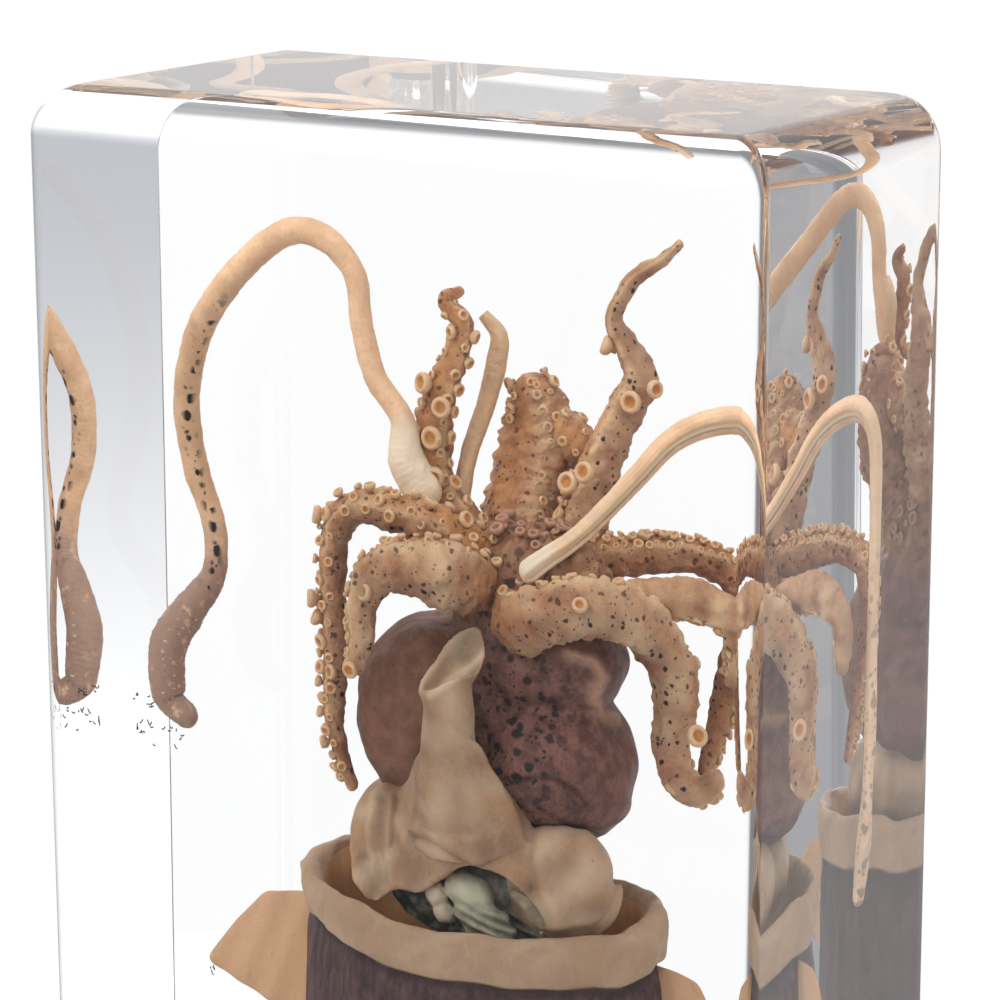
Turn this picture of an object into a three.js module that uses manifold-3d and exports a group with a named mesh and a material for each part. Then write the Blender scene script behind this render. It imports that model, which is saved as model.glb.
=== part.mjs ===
// Cuttlefish cast in a clear resin block, standing upright.
// Millimetres, +Z up. The origin is the middle of the block's underside, -Y is the
// broad face that the animal's funnel side looks through, +X is its right-hand edge.

import * as THREE from 'three';
import { RoundedBoxGeometry } from 'three/addons/geometries/RoundedBoxGeometry.js';
import { mergeVertices } from 'three/addons/utils/BufferGeometryUtils.js';
import Module from 'manifold-3d';

const wasm = await Module();
wasm.setup();

// Driving dimensions of the block.
const BLOCK_WIDTH = 60;
const BLOCK_DEPTH = 28;
const BLOCK_HEIGHT = 120;
const BLOCK_EDGE_RADIUS = 3;
const BLOCK_EDGE_SEGMENTS = 2;

// The block is parted down its middle. Every piece keeps a thin gap to the next one.
const PARTING_GAP = 0.3;
const PIECE_GAP = 0.3;
const POCKET_ROOM = 0.75;
const POCKET_ARM_ROOM = 1.1;
const CROWN_ROOM = [[-10, -11.8, 58], [26.2, 10.4, 93.8]];
const CROWN_ROOM_EDGE = 1.6;

// Driving dimensions of the body. The animal stands a little right of the block's middle.
const BODY_X = 3.6;
const MANTLE_RADIUS = 15.2;
const MANTLE_FLATNESS = 0.6;
const MANTLE_END_Z = 12;
const RIM_Z = 62.6;
const RIM_HEIGHT = 3.4;
const WALL = 1.9;
const CAVITY_DEPTH = 7;
const CAVITY_FLOOR_EDGE = 1.5;
// The rim dips towards the animal's front and its left, and is a little wavy.
const RIM_SLOPE = 0.05;
const RIM_LEAN = 0.04;
const RIM_WAVES = 5;
const RIM_WAVE_HEIGHT = 0.35;
const RIM_BEND_DEPTH = 12;
// The sac's outline below its rim: share of MANTLE_RADIUS, and how far above its end.
const MANTLE_OUTLINE = [
  [0, 0],
  [0.3, 1.2],
  [0.56, 5],
  [0.78, 12],
  [0.93, 22],
  [1, 34],
];
// The rim's outline: share of MANTLE_RADIUS, and share of RIM_HEIGHT below its top.
const RIM_OUTLINE = [
  [0.99, 1.25],
  [0.965, 1],
  [1.01, 0.6],
  [1, 0.15],
];
const FIN_Y = 1.2;
const HEAD_Z = 76.8;

// The funnel tube from its mouth down to where it widens, and its bore: x, y, z, radius.
const FUNNEL_TUBE = [
  [6.6, -9, 83.8, 1.4],
  [5.8, -8.9, 80.6, 1.9],
  [5.2, -8.4, 77, 2.2],
  [5.6, -7.6, 73, 2.8],
  [6, -6.2, 69.4, 3.6],
];
const FUNNEL_BORE = [
  [6.85, -9.1, 85.6, 0.8],
  [6.5, -9.1, 83, 0.8],
  [6, -9, 81, 0.7],
];

// A fin's outer edge, front to back: how far beyond the mantle's widest line, and z there.
const FIN_EDGE = [
  [-3.4, 60.4],
  [4.5, 60.2],
  [9.3, 54.2],
  [5.4, 51.2],
  [3.2, 47],
  [2.6, 39],
  [1, 30],
  [-2.4, 21.5],
  [-7, 15],
  [-12, 11.8],
];
const FIN_THICKNESS = 1.1;
const FIN_MIDDLE_Z = 54;
const FIN_ROOT_DROP = 6;
const RIGHT_FIN_SPREAD = 0.5;

// How finely round things are cut into faces.
const LIMB_SIDES = 6;
const RING_STEP = 2.3;
const POCKET_SIDES = 4;
const POCKET_RING_STEP = 4.5;
const CAP_REACH = 0.6;
const CAP_SCALE = 0.6;
const LUMP_SEGMENTS = 12;
const LUMP_RINGS = 8;
const MANTLE_SEGMENTS = 20;
const POCKET_MANTLE_SEGMENTS = 12;
const FIN_CURVE_SEGMENTS = 2;
const MERGE_DISTANCE = 1e-4;

// Suckers stand on short stalks, as a share of their size, and lean left and right in turn.
const SUCKER_STALK = 0.35;
const SUCKER_LEAN = 0.7;

// How matt the resin and the animal are.
const RESIN_ROUGHNESS = 0.05;
const SKIN_ROUGHNESS = 0.6;

// The colours of the preserved animal and of the resin.
const COLOURS = {
  resin: 0xeaf0f2,
  mantle: 0x7a6668,
  head: 0x8a7068,
  funnel: 0xc9b596,
  gills: 0x6f7566,
  arm: 0xb8906c,
  tentacle: 0xcfb494,
};

// Centrelines of the limbs, root to tip: x, y, z and the radius there.
const TENTACLE_LEFT = [
  [0.2, -1, 91.5, 1.5],
  [-1.8, -1.2, 94.5, 1.45],
  [-2.4, -1, 97.6, 0.95],
  [-4.6, -1, 100.4, 0.9],
  [-5.7, -1, 104, 0.85],
  [-6.3, -1, 107.6, 0.85],
  [-8.8, -1, 109.8, 0.9],
  [-12.4, -0.4, 109.8, 0.95],
  [-17.4, 1.2, 106.4, 1],
  [-22.2, 4.4, 101.4, 1.05],
  [-24.4, 6.6, 95.8, 1.1],
  [-24, 7.4, 90.6, 1.05],
  [-22.6, 7.6, 86.4, 0.95],
  [-22.4, 6.8, 82.7, 0.95],
  [-24, 5.2, 79.9, 1.3],
  [-25.4, 3.6, 77.2, 1.5],
  [-25.4, 3, 74.2, 1.4],
  [-23.4, 3, 71.4, 0.95],
];
const TENTACLE_RIGHT = [
  [9.4, -5.6, 88.6, 0.9],
  [11, -2.6, 90.2, 1],
  [13, 0, 92, 1],
  [15.6, 1.8, 95.2, 1.05],
  [17.8, 3, 98, 1.1],
  [20.6, 4.4, 99.4, 1.2],
  [23.2, 5.6, 99.4, 1.1],
  [24.6, 6.4, 97, 0.95],
  [24.7, 6.6, 91, 0.8],
  [24.5, 6.6, 84, 0.75],
  [24.5, 6.6, 77, 0.85],
  [24.4, 6.4, 72.6, 0.7],
  [24.3, 6, 68, 1.05],
  [23.8, 5.6, 63.8, 0.7],
];
const ARMS = {
  // The two that stand up at the back, the taller one ending in a thin twisted tip.
  arm_upper_left: {
    route: [
      [2.6, 1, 90, 1.5],
      [-0.2, 1, 92.6, 1.5],
      [-0.5, 1, 96.4, 1.4],
      [0.1, 1, 99.6, 1.2],
      [1.5, 1, 102.6, 0.95],
      [1.9, 1, 104.6, 0.8],
      [0.5, 1, 106, 0.6],
      [2, 1, 107, 0.35],
    ],
    suckers: { count: 7, from: 0.12, to: 0.62, faces: [-0.5, -1, 0.1], size: 0.75 },
  },
  arm_upper_right: {
    route: [
      [10.4, 3.4, 90.6, 1.7],
      [10.9, 5.2, 94.2, 1.6],
      [12.4, 6.4, 98.4, 1.4],
      [13.8, 6.8, 101.3, 1.3],
      [13, 6.6, 103.4, 1],
      [12, 6.2, 105.4, 0.65],
      [13.6, 6, 108.2, 0.6],
      [15.9, 6, 109.8, 0.45],
      [17.4, 6, 111.2, 0.3],
    ],
    suckers: { count: 7, from: 0.08, to: 0.5, faces: [-1, -0.8, 0.1], size: 0.6 },
  },
  // The short stout one in the middle, curled at its end.
  arm_middle: {
    route: [
      [5.6, 3.6, 89.6, 3],
      [5.4, 6, 93, 3],
      [5.8, 6.8, 96.2, 2.9],
      [5.6, 6.8, 98.8, 2.3],
      [4.8, 6.8, 100.8, 1.5],
    ],
    suckers: { count: 8, from: 0.2, to: 0.95, faces: [-0.4, -1, 0.2], size: 0.7 },
  },
  // The two nearest the funnel, which arch forward over the head.
  arm_front_left: {
    route: [
      [6, -3.6, 86.8, 2.4],
      [3.6, -6, 88, 2.4],
      [0.9, -7.2, 88.3, 2.1],
      [-1.6, -7.6, 87.7, 1.6],
      [-3, -7.8, 85.6, 1.25],
      [-3.2, -7.8, 82.6, 1],
      [-4, -7.6, 79.8, 0.75],
    ],
    suckers: { count: 5, from: 0.5, to: 0.98, faces: [-1, -0.5, 0], size: 0.65 },
  },
  arm_front_right: {
    route: [
      [9.4, -5.6, 85, 2],
      [11.8, -6.6, 86.4, 2.1],
      [14.6, -5.2, 87, 2],
      [17.2, -2.6, 86, 1.9],
      [18.9, -0.4, 83.2, 1.75],
      [19.3, 0.4, 80.1, 1.55],
      [18.9, 0.4, 77.1, 1.35],
      [19.9, 0, 74.6, 1.2],
      [21.8, -0.6, 74.5, 1],
      [23.2, -0.8, 76.1, 0.7],
    ],
    suckers: { count: 7, from: 0.5, to: 0.98, faces: [1, -0.7, 0.1], size: 0.7 },
  },
  // The four at the sides. The first hangs down in front of the head's left half.
  arm_side_left: {
    route: [
      [2.2, -2.6, 90.4, 1.4],
      [-1.8, -3.4, 91.2, 1.4],
      [-5.2, -3.6, 91.3, 1.3],
      [-7, -3.8, 89.4, 1.2],
      [-7.3, -4, 86, 1.1],
      [-7.1, -4, 82, 1.05],
      [-7.2, -4, 78.4, 1],
      [-7.3, -3.8, 75, 0.75],
      [-6.6, -3.6, 72.2, 0.6],
      [-5.8, -3.4, 70.2, 0.5],
    ],
    suckers: { count: 9, from: 0.2, to: 0.95, faces: [-1, -0.3, 0], size: 0.65 },
  },
  arm_side_right: {
    route: [
      [12, 2, 89, 1.4],
      [15.2, 4.2, 89.6, 1.35],
      [18.6, 5.6, 89.7, 1.25],
      [21.2, 7.4, 88.4, 1.15],
      [21.6, 8.2, 85, 1.05],
      [20.8, 8.2, 81, 1],
      [20, 7.6, 77, 0.8],
      [19.2, 7, 73.6, 0.5],
    ],
    suckers: { count: 9, from: 0.15, to: 0.95, faces: [0.4, -0.6, 1], size: 0.6 },
  },
  arm_lower_right: {
    route: [
      [12.6, 0.4, 85.4, 1.4],
      [16.4, 0.8, 86.9, 1.4],
      [20, 1.6, 87.4, 1.35],
      [22.8, 2.6, 86.2, 1.2],
      [23.3, 3.4, 83.6, 1],
      [22.4, 3.6, 81.2, 0.75],
    ],
    suckers: { count: 4, from: 0.6, to: 0.98, faces: [-0.4, -1, -0.3], size: 0.55 },
  },
};
// The thin bare strip of skin that stands up beside the upper left arm.
const SKIN_STRIP = [
  [1.2, 2, 91.4, 0.6],
  [1.6, 3, 95, 0.6],
  [2.6, 4, 98.6, 0.65],
  [3.4, 4.2, 101.6, 0.7],
  [3.6, 4.2, 103.6, 0.6],
  [2.4, 4, 105, 0.4],
];

/** Turns a closed three.js geometry into a solid that can be joined and cut. */
function solidOf(geometry) {
  geometry.deleteAttribute('normal');
  geometry.deleteAttribute('uv');
  const merged = mergeVertices(geometry, MERGE_DISTANCE);
  const mesh = new wasm.Mesh({
    numProp: 3,
    vertProperties: new Float32Array(merged.attributes.position.array),
    triVerts: new Uint32Array(merged.index.array),
  });
  return new wasm.Manifold(mesh);
}

/** Turns a solid back into a three.js geometry. */
function geometryOf(solid) {
  const mesh = solid.getMesh();
  const geometry = new THREE.BufferGeometry();
  geometry.setAttribute('position', new THREE.BufferAttribute(mesh.vertProperties, 3));
  geometry.setIndex(new THREE.BufferAttribute(mesh.triVerts, 1));
  geometry.computeVertexNormals();
  return geometry;
}

/** Joins a list of solids into one. */
function join(solids) {
  return solids.reduce((whole, next) => whole.add(next));
}

/** Keeps the biggest of the bodies that a cut leaves. */
function biggest(solid) {
  const bodies = solid.decompose();
  return bodies.reduce((best, body) => (body.volume() > best.volume() ? body : best));
}

/** A tapering limb along a centreline, with rounded ends. */
function limb(route, { grow = 0, sides = LIMB_SIDES, ringStep = RING_STEP } = {}) {
  const curve = new THREE.CatmullRomCurve3(route.map(([x, y, z]) => new THREE.Vector3(x, y, z)));
  const count = Math.max(4, Math.round(curve.getLength() / ringStep));
  const frames = curve.computeFrenetFrames(count, false);
  const fit = 1 / Math.cos(Math.PI / sides);
  const rings = [];
  const addRing = (index, along, scale) => {
    const u = index / count;
    const radius = (radiusAt(route, curve.getUtoTmapping(u)) * scale + grow) * (grow > 0 ? fit : 1);
    const centre = curve.getPointAt(u).addScaledVector(frames.tangents[index], along);
    rings.push({ centre, radius, normal: frames.normals[index], side: frames.binormals[index] });
  };
  const startRadius = route[0][3];
  const endRadius = route[route.length - 1][3];
  addRing(0, -CAP_REACH * startRadius - grow, CAP_SCALE);
  for (let index = 0; index <= count; index += 1) {
    addRing(index, 0, 1);
  }
  addRing(count, CAP_REACH * endRadius + grow, CAP_SCALE);

  const positions = [];
  const triangles = [];
  for (const ring of rings) {
    for (let side = 0; side < sides; side += 1) {
      const angle = (side / sides) * Math.PI * 2;
      const point = ring.centre.clone()
        .addScaledVector(ring.normal, Math.cos(angle) * ring.radius)
        .addScaledVector(ring.side, Math.sin(angle) * ring.radius);
      positions.push(point.x, point.y, point.z);
    }
  }
  const corner = (ring, side) => ring * sides + (side % sides);
  for (let ring = 0; ring < rings.length - 1; ring += 1) {
    for (let side = 0; side < sides; side += 1) {
      triangles.push(corner(ring, side), corner(ring, side + 1), corner(ring + 1, side + 1));
      triangles.push(corner(ring, side), corner(ring + 1, side + 1), corner(ring + 1, side));
    }
  }
  const last = rings.length - 1;
  for (let side = 1; side < sides - 1; side += 1) {
    triangles.push(corner(0, 0), corner(0, side + 1), corner(0, side));
    triangles.push(corner(last, 0), corner(last, side), corner(last, side + 1));
  }
  const geometry = new THREE.BufferGeometry();
  geometry.setAttribute('position', new THREE.Float32BufferAttribute(positions, 3));
  geometry.setIndex(triangles);
  return solidOf(geometry);
}

/** The limb's radius at a place along its centreline, 0 at the root and 1 at the tip. */
function radiusAt(route, place) {
  const stop = place * (route.length - 1);
  const index = Math.min(Math.floor(stop), route.length - 2);
  return THREE.MathUtils.lerp(route[index][3], route[index + 1][3], stop - index);
}

/** A row of stalked suckers along a limb, as small faceted knobs. */
function suckerRow(route, { count, from, to, faces, size }) {
  const curve = new THREE.CatmullRomCurve3(route.map(([x, y, z]) => new THREE.Vector3(x, y, z)));
  const towards = new THREE.Vector3(...faces).normalize();
  const knobs = [];
  for (let index = 0; index < count; index += 1) {
    const u = THREE.MathUtils.lerp(from, to, index / (count - 1));
    const tangent = curve.getTangentAt(u);
    const out = towards.clone().addScaledVector(tangent, -towards.dot(tangent)).normalize();
    const sideways = new THREE.Vector3().crossVectors(tangent, out);
    out.addScaledVector(sideways, index % 2 ? SUCKER_LEAN : -SUCKER_LEAN).normalize();
    const radius = radiusAt(route, curve.getUtoTmapping(u));
    const centre = curve.getPointAt(u).addScaledVector(out, radius + size * SUCKER_STALK);
    const knob = new THREE.OctahedronGeometry(size, 0);
    knob.translate(centre.x, centre.y, centre.z);
    knobs.push(solidOf(knob));
  }
  return join(knobs);
}

/** A rounded lump: a sphere drawn out to three radii. */
function lump([x, y, z], [rx, ry, rz], { grow = 0 } = {}) {
  const geometry = new THREE.SphereGeometry(1, LUMP_SEGMENTS, LUMP_RINGS);
  geometry.rotateX(Math.PI / 2);
  geometry.scale(rx + grow, ry + grow, rz + grow);
  geometry.translate(x, y, z);
  return solidOf(geometry);
}

/** The mantle sac: its outer wall, thick rim and the shallow hollow behind the rim. */
function mantleSac({ grow = 0, filled = false } = {}) {
  const r = MANTLE_RADIUS + grow;
  const top = RIM_Z + grow;
  const low = MANTLE_END_Z - grow;
  const outline = MANTLE_OUTLINE.map(([share, height]) => [share * r, low + height]);
  outline.push(...RIM_OUTLINE.map(([share, depth]) => [share * r, top - depth * RIM_HEIGHT]));
  outline.push([r - WALL * 0.5, top]);
  if (filled) {
    outline.push([0, top]);
  } else {
    const floor = RIM_Z - CAVITY_DEPTH;
    outline.push([r - WALL * 1.1, top - RIM_HEIGHT * 0.4]);
    outline.push([r - WALL, floor + CAVITY_FLOOR_EDGE]);
    outline.push([r - WALL * 2.2, floor]);
    outline.push([0, floor]);
  }
  const segments = filled ? POCKET_MANTLE_SEGMENTS : MANTLE_SEGMENTS;
  const spare = filled ? 1 / Math.cos(Math.PI / segments) + 0.01 : 1;
  const points = outline.map(([x, y]) => new THREE.Vector2(x * spare, y));
  const geometry = new THREE.LatheGeometry(points, segments);
  geometry.rotateX(Math.PI / 2);
  geometry.scale(1, MANTLE_FLATNESS, 1);
  const position = geometry.attributes.position;
  for (let index = 0; index < position.count; index += 1) {
    const x = position.getX(index);
    const y = position.getY(index);
    const z = position.getZ(index);
    const nearRim = THREE.MathUtils.smoothstep(z, RIM_Z - RIM_BEND_DEPTH, RIM_Z);
    const ripple = Math.sin(RIM_WAVES * Math.atan2(y, x)) * RIM_WAVE_HEIGHT;
    position.setZ(index, z + nearRim * (y * RIM_SLOPE + x * RIM_LEAN + ripple));
    position.setX(index, x + BODY_X);
  }
  return solidOf(geometry);
}

/** One fin: a thin flap along the side of the mantle, widest near the front. */
function fin(side, { grow = 0 } = {}) {
  const thickness = FIN_THICKNESS + grow * 2;
  const outline = new THREE.Shape();
  const spread = side < 0 ? 1 : RIGHT_FIN_SPREAD;
  const points = FIN_EDGE.map(([beyond, z]) => {
    const x = MANTLE_RADIUS + (beyond > 0 ? beyond * spread : beyond);
    return new THREE.Vector2(x + grow, z + grow * Math.sign(z - FIN_MIDDLE_Z));
  });
  outline.moveTo(0, points[0].y - FIN_ROOT_DROP);
  outline.lineTo(points[0].x - grow, points[0].y);
  outline.lineTo(points[0].x, points[0].y);
  outline.splineThru(points.slice(1));
  outline.lineTo(0, points[points.length - 1].y);
  const geometry = new THREE.ExtrudeGeometry(outline, {
    depth: thickness,
    bevelEnabled: false,
    curveSegments: FIN_CURVE_SEGMENTS,
  });
  geometry.translate(0, 0, -thickness / 2);
  geometry.rotateX(Math.PI / 2);
  if (side < 0) {
    geometry.rotateZ(Math.PI);
  }
  geometry.translate(BODY_X, FIN_Y, 0);
  return solidOf(geometry);
}

/** The head: two bulging eye lobes, the nape behind them and the ring that the arms grow from. */
function head(options) {
  return join([
    lump([BODY_X - 2.6, 0.2, HEAD_Z + 0.6], [6.6, 7, 8.6], options),
    lump([BODY_X + 6.4, 0.8, HEAD_Z - 0.4], [7.2, 7.8, 8], options),
    lump([BODY_X + 2, 2, HEAD_Z + 0.4], [7.6, 6, 9], options),
    lump([BODY_X + 4, 0.4, HEAD_Z + 10.4], [7.2, 5.2, 4.6], options),
  ]);
}

/** The funnel tube with the pale collar that it widens into, behind the mantle's rim. */
function funnel(options) {
  return join([
    limb(FUNNEL_TUBE, options),
    lump([BODY_X + 1.8, -0.2, 66.4], [11.2, 7.2, 4.8], options),
    lump([BODY_X + 9, -3.4, 66], [4, 3.8, 4.4], options),
    lump([BODY_X - 7, -2.8, 67.4], [3.6, 3.6, 4.4], options),
  ]);
}

/** The gills that show in the gap between the collar and the rim. */
function gills(options) {
  return join([
    lump([4.6, -6.6, 63.6], [4, 1.4, 1.9], options),
    lump([7.8, -6.8, 63.8], [2.2, 1.3, 1.6], options),
  ]);
}

/** One arm with its suckers and, on the upper left one, the strip of skin. */
function arm(name, { grow = 0 } = {}) {
  const { route, suckers } = ARMS[name];
  const parts = [limb(route, { grow }), suckerRow(route, { ...suckers, size: suckers.size + grow })];
  if (name === 'arm_upper_left') {
    parts.push(limb(SKIN_STRIP, { grow }));
  }
  return join(parts);
}

/** The mantle with both fins. */
function mantle({ grow = 0, filled = false } = {}) {
  return join([mantleSac({ grow, filled }), fin(-1, { grow }), fin(1, { grow })]);
}

// Every piece as a shape that can also be grown a little, so a later piece is cut clear of it.
const SHAPES = {
  mantle: (options) => mantle(options),
  head: (options) => head(options),
  gills: (options) => gills(options),
  funnel: (options) => funnel(options),
  tentacle_right: ({ grow }) => limb(TENTACLE_RIGHT, { grow }),
  tentacle_left: ({ grow }) => limb(TENTACLE_LEFT, { grow }),
};
for (const name of Object.keys(ARMS)) {
  SHAPES[name] = (options) => arm(name, options);
}

/** Makes the pieces of the animal in order, each cut clear of those before it. */
function makeAnimal() {
  const pieces = {};
  const names = Object.keys(SHAPES);
  for (const [order, name] of names.entries()) {
    let piece = SHAPES[name]({ grow: 0 });
    if (name === 'funnel') {
      piece = piece.subtract(limb(FUNNEL_BORE));
    }
    for (const earlier of names.slice(0, order)) {
      piece = piece.subtract(SHAPES[earlier]({ grow: PIECE_GAP }));
    }
    pieces[name] = biggest(piece);
  }
  return pieces;
}

/** The room that the resin leaves for the animal, as plain swollen shapes. */
function pocket() {
  const tube = { sides: POCKET_SIDES, ringStep: POCKET_RING_STEP };
  const standing = [
    ARMS.arm_upper_left.route,
    SKIN_STRIP,
    ARMS.arm_upper_right.route,
    ARMS.arm_middle.route,
  ];
  return join([
    mantle({ grow: POCKET_ROOM, filled: true }),
    crownRoom(),
    limb(TENTACLE_LEFT, { grow: POCKET_ROOM, ...tube }),
    limb(TENTACLE_RIGHT, { grow: POCKET_ROOM, ...tube }),
    ...standing.map((route) => limb(route, { grow: POCKET_ARM_ROOM, ...tube })),
  ]);
}

/** The part of the pocket around the head, the funnel and the arms that hang. */
function crownRoom() {
  const [low, high] = CROWN_ROOM;
  const size = high.map((value, axis) => value - low[axis]);
  const geometry = new RoundedBoxGeometry(...size, 1, CROWN_ROOM_EDGE);
  geometry.translate(...low.map((value, axis) => value + size[axis] / 2));
  return solidOf(geometry);
}

/** The clear block with rounded edges, standing on its small end. */
function wholeBlock() {
  const geometry = new RoundedBoxGeometry(
    BLOCK_WIDTH, BLOCK_DEPTH, BLOCK_HEIGHT, BLOCK_EDGE_SEGMENTS, BLOCK_EDGE_RADIUS);
  geometry.translate(0, 0, BLOCK_HEIGHT / 2);
  return solidOf(geometry);
}

/** A plain box that takes away the half of the block on one side of the parting plane. */
function otherHalf(side) {
  const spare = 2;
  const depth = BLOCK_DEPTH;
  const geometry = new THREE.BoxGeometry(BLOCK_WIDTH + spare, depth, BLOCK_HEIGHT + spare);
  geometry.translate(0, -side * (depth - PARTING_GAP) / 2, BLOCK_HEIGHT / 2);
  return solidOf(geometry);
}

/** Gives a solid its name and finish and puts it in the group. */
function addPiece(group, name, solid, colour, roughness) {
  const material = new THREE.MeshStandardMaterial({ color: colour, roughness, metalness: 0 });
  const mesh = new THREE.Mesh(geometryOf(solid), material);
  mesh.name = name;
  group.add(mesh);
}

/** The colour of a piece, from what kind of piece its name says it is. */
function colourOf(name) {
  const kind = Object.keys(COLOURS).find((word) => name.startsWith(word));
  return COLOURS[kind];
}

const specimen = new THREE.Group();
for (const [name, solid] of Object.entries(makeAnimal())) {
  addPiece(specimen, name, solid, colourOf(name), SKIN_ROUGHNESS);
}

const casting = new THREE.Group();
const room = pocket();
const hollowBlock = wholeBlock().subtract(room);
for (const [name, side] of [['block_front', -1], ['block_back', 1]]) {
  const half = biggest(hollowBlock.subtract(otherHalf(side)));
  addPiece(casting, name, half, COLOURS.resin, RESIN_ROUGHNESS);
}

const cuttlefishBlock = new THREE.Group();
cuttlefishBlock.add(casting, specimen);
export default cuttlefishBlock;
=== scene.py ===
"""The looks of a cuttlefish cast in a clear resin block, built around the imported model.

Lengths are written in millimetres and turned into metres when a mesh is made. The block
stands on the floor with its broad front face towards -Y; the animal's arms point up.
"""

import logging
import math
from collections.abc import Sequence
from dataclasses import dataclass, field
from enum import Enum

import bpy
import numpy as np
from mathutils import Matrix, Vector


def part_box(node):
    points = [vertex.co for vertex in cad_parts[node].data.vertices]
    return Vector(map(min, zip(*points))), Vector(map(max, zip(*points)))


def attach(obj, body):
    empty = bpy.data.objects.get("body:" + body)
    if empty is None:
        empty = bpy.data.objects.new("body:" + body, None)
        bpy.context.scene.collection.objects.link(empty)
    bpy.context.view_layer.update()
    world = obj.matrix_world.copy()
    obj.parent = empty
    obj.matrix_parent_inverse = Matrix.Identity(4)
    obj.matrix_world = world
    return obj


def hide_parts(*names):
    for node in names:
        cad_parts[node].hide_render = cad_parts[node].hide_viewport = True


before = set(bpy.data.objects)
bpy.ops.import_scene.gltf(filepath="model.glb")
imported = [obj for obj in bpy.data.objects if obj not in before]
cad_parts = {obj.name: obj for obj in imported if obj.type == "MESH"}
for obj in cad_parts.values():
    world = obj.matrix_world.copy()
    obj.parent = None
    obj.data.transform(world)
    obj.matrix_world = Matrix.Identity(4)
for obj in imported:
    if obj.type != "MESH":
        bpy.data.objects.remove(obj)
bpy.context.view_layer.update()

LOG = logging.getLogger("cuttlefish_block")
MM = 0.001
BODY = "root"
RESIN_IOR = 1.49
SIGHT = np.array([-0.350, 0.922, -0.160])
Point = tuple[float, float, float]
Colour = tuple[float, float, float]
Stop = tuple[float, float, float, float]


class Mask(Enum):
    """The painted masks that every piece of the animal carries on its vertices."""

    # Pale tone, which on the funnel and the gills also stands for painted highlights.
    PALE = "pale"
    WARM = "warm"
    # Dusky skin tone, and painted shade in creases, hollows and at the arms' roots.
    DUSK = "dusk"
    SPOTS = "spots"
    # Black marks, and painted shade in the groove under the mantle's rim.
    SOOT = "soot"


Masks = dict[Mask, np.ndarray | float]


def bell(value: np.ndarray, middle: float, width: float) -> np.ndarray:
    """A smooth hump of height 1.

    Args:
        value: Where it is read.
        middle: Where the hump stands.
        width: Its half width.

    Returns:
        The height at each value.
    """
    return np.exp(-(((value - middle) / width) ** 2))


def ramp(value: np.ndarray, low: float, high: float) -> np.ndarray:
    """A smooth step from 0 at low to 1 at high, which may lie either way round.

    Args:
        value: Where it is read.
        low: Where it is 0.
        high: Where it is 1.

    Returns:
        The step's height at each value.
    """
    share = np.clip((value - low) / (high - low), 0.0, 1.0)
    return share * share * (3.0 - 2.0 * share)


def ripple(points: np.ndarray, length: float, seed: int, waves: int = 18) -> np.ndarray:
    """Smooth irregular relief: a sum of plane waves in random directions.

    Args:
        points: Where it is read, one row a point, in millimetres.
        length: The usual wave length in millimetres.
        seed: Picks the waves.
        waves: How many are summed.

    Returns:
        A value around -1 to 1 for each point.
    """
    dice = np.random.default_rng(seed)
    total = np.zeros(len(points))
    for _ in range(waves):
        way = dice.normal(size=3)
        way /= np.linalg.norm(way)
        pitch = length * dice.uniform(0.6, 1.7)
        total += np.sin(points @ way * (2 * math.pi / pitch) + dice.uniform(0, 2 * math.pi))
    return total / math.sqrt(waves)


def spline(corners: np.ndarray, steps: int) -> np.ndarray:
    """A Catmull-Rom curve through all corners but the outermost two.

    Args:
        corners: One row a corner.
        steps: Points from one corner to the next.

    Returns:
        The curve's points, up to but without its last corner.
    """
    t = np.linspace(0, 1, steps, endpoint=False)[:, None]
    parts = []
    for a, b, c, d in zip(corners[:-3], corners[1:-2], corners[2:-1], corners[3:]):
        parts.append(0.5 * (2 * b + (c - a) * t + (2 * a - 5 * b + 4 * c - d) * t ** 2
                            + (3 * b - a - 3 * c + d) * t ** 3))
    return np.vstack(parts)


def ring_angles(count: int) -> np.ndarray:
    """Evenly spaced angles, once round."""
    return np.linspace(0, 2 * math.pi, count, endpoint=False)


def distance_to_line(points: np.ndarray, line: Sequence[Sequence[float]]) -> np.ndarray:
    """How far each point is from a line of straight stretches.

    Args:
        points: One row a point.
        line: The line's corners.

    Returns:
        The distance for each point.
    """
    nearest = np.full(len(points), np.inf)
    for start, end in zip(line[:-1], line[1:]):
        a = np.array(start, float)
        b = np.array(end, float)
        share = np.clip((points - a) @ (b - a) / ((b - a) @ (b - a)), 0.0, 1.0)
        nearest = np.minimum(nearest, np.linalg.norm(points - (a + share[:, None] * (b - a)), axis=1))
    return nearest


def grid_faces(rows: int, columns: int, start: int = 0) -> list[tuple[int, ...]]:
    """The quads of a tube of rings.

    Args:
        rows: How many rings.
        columns: Points on each ring, which closes on itself.
        start: The first point's number.

    Returns:
        The faces, facing out where the ring turns anticlockwise about its way.
    """
    faces = []
    for row in range(rows - 1):
        low = start + row * columns
        for column in range(columns):
            after = (column + 1) % columns
            faces.append((low + column, low + after, low + columns + after, low + columns + column))
    return faces


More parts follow.
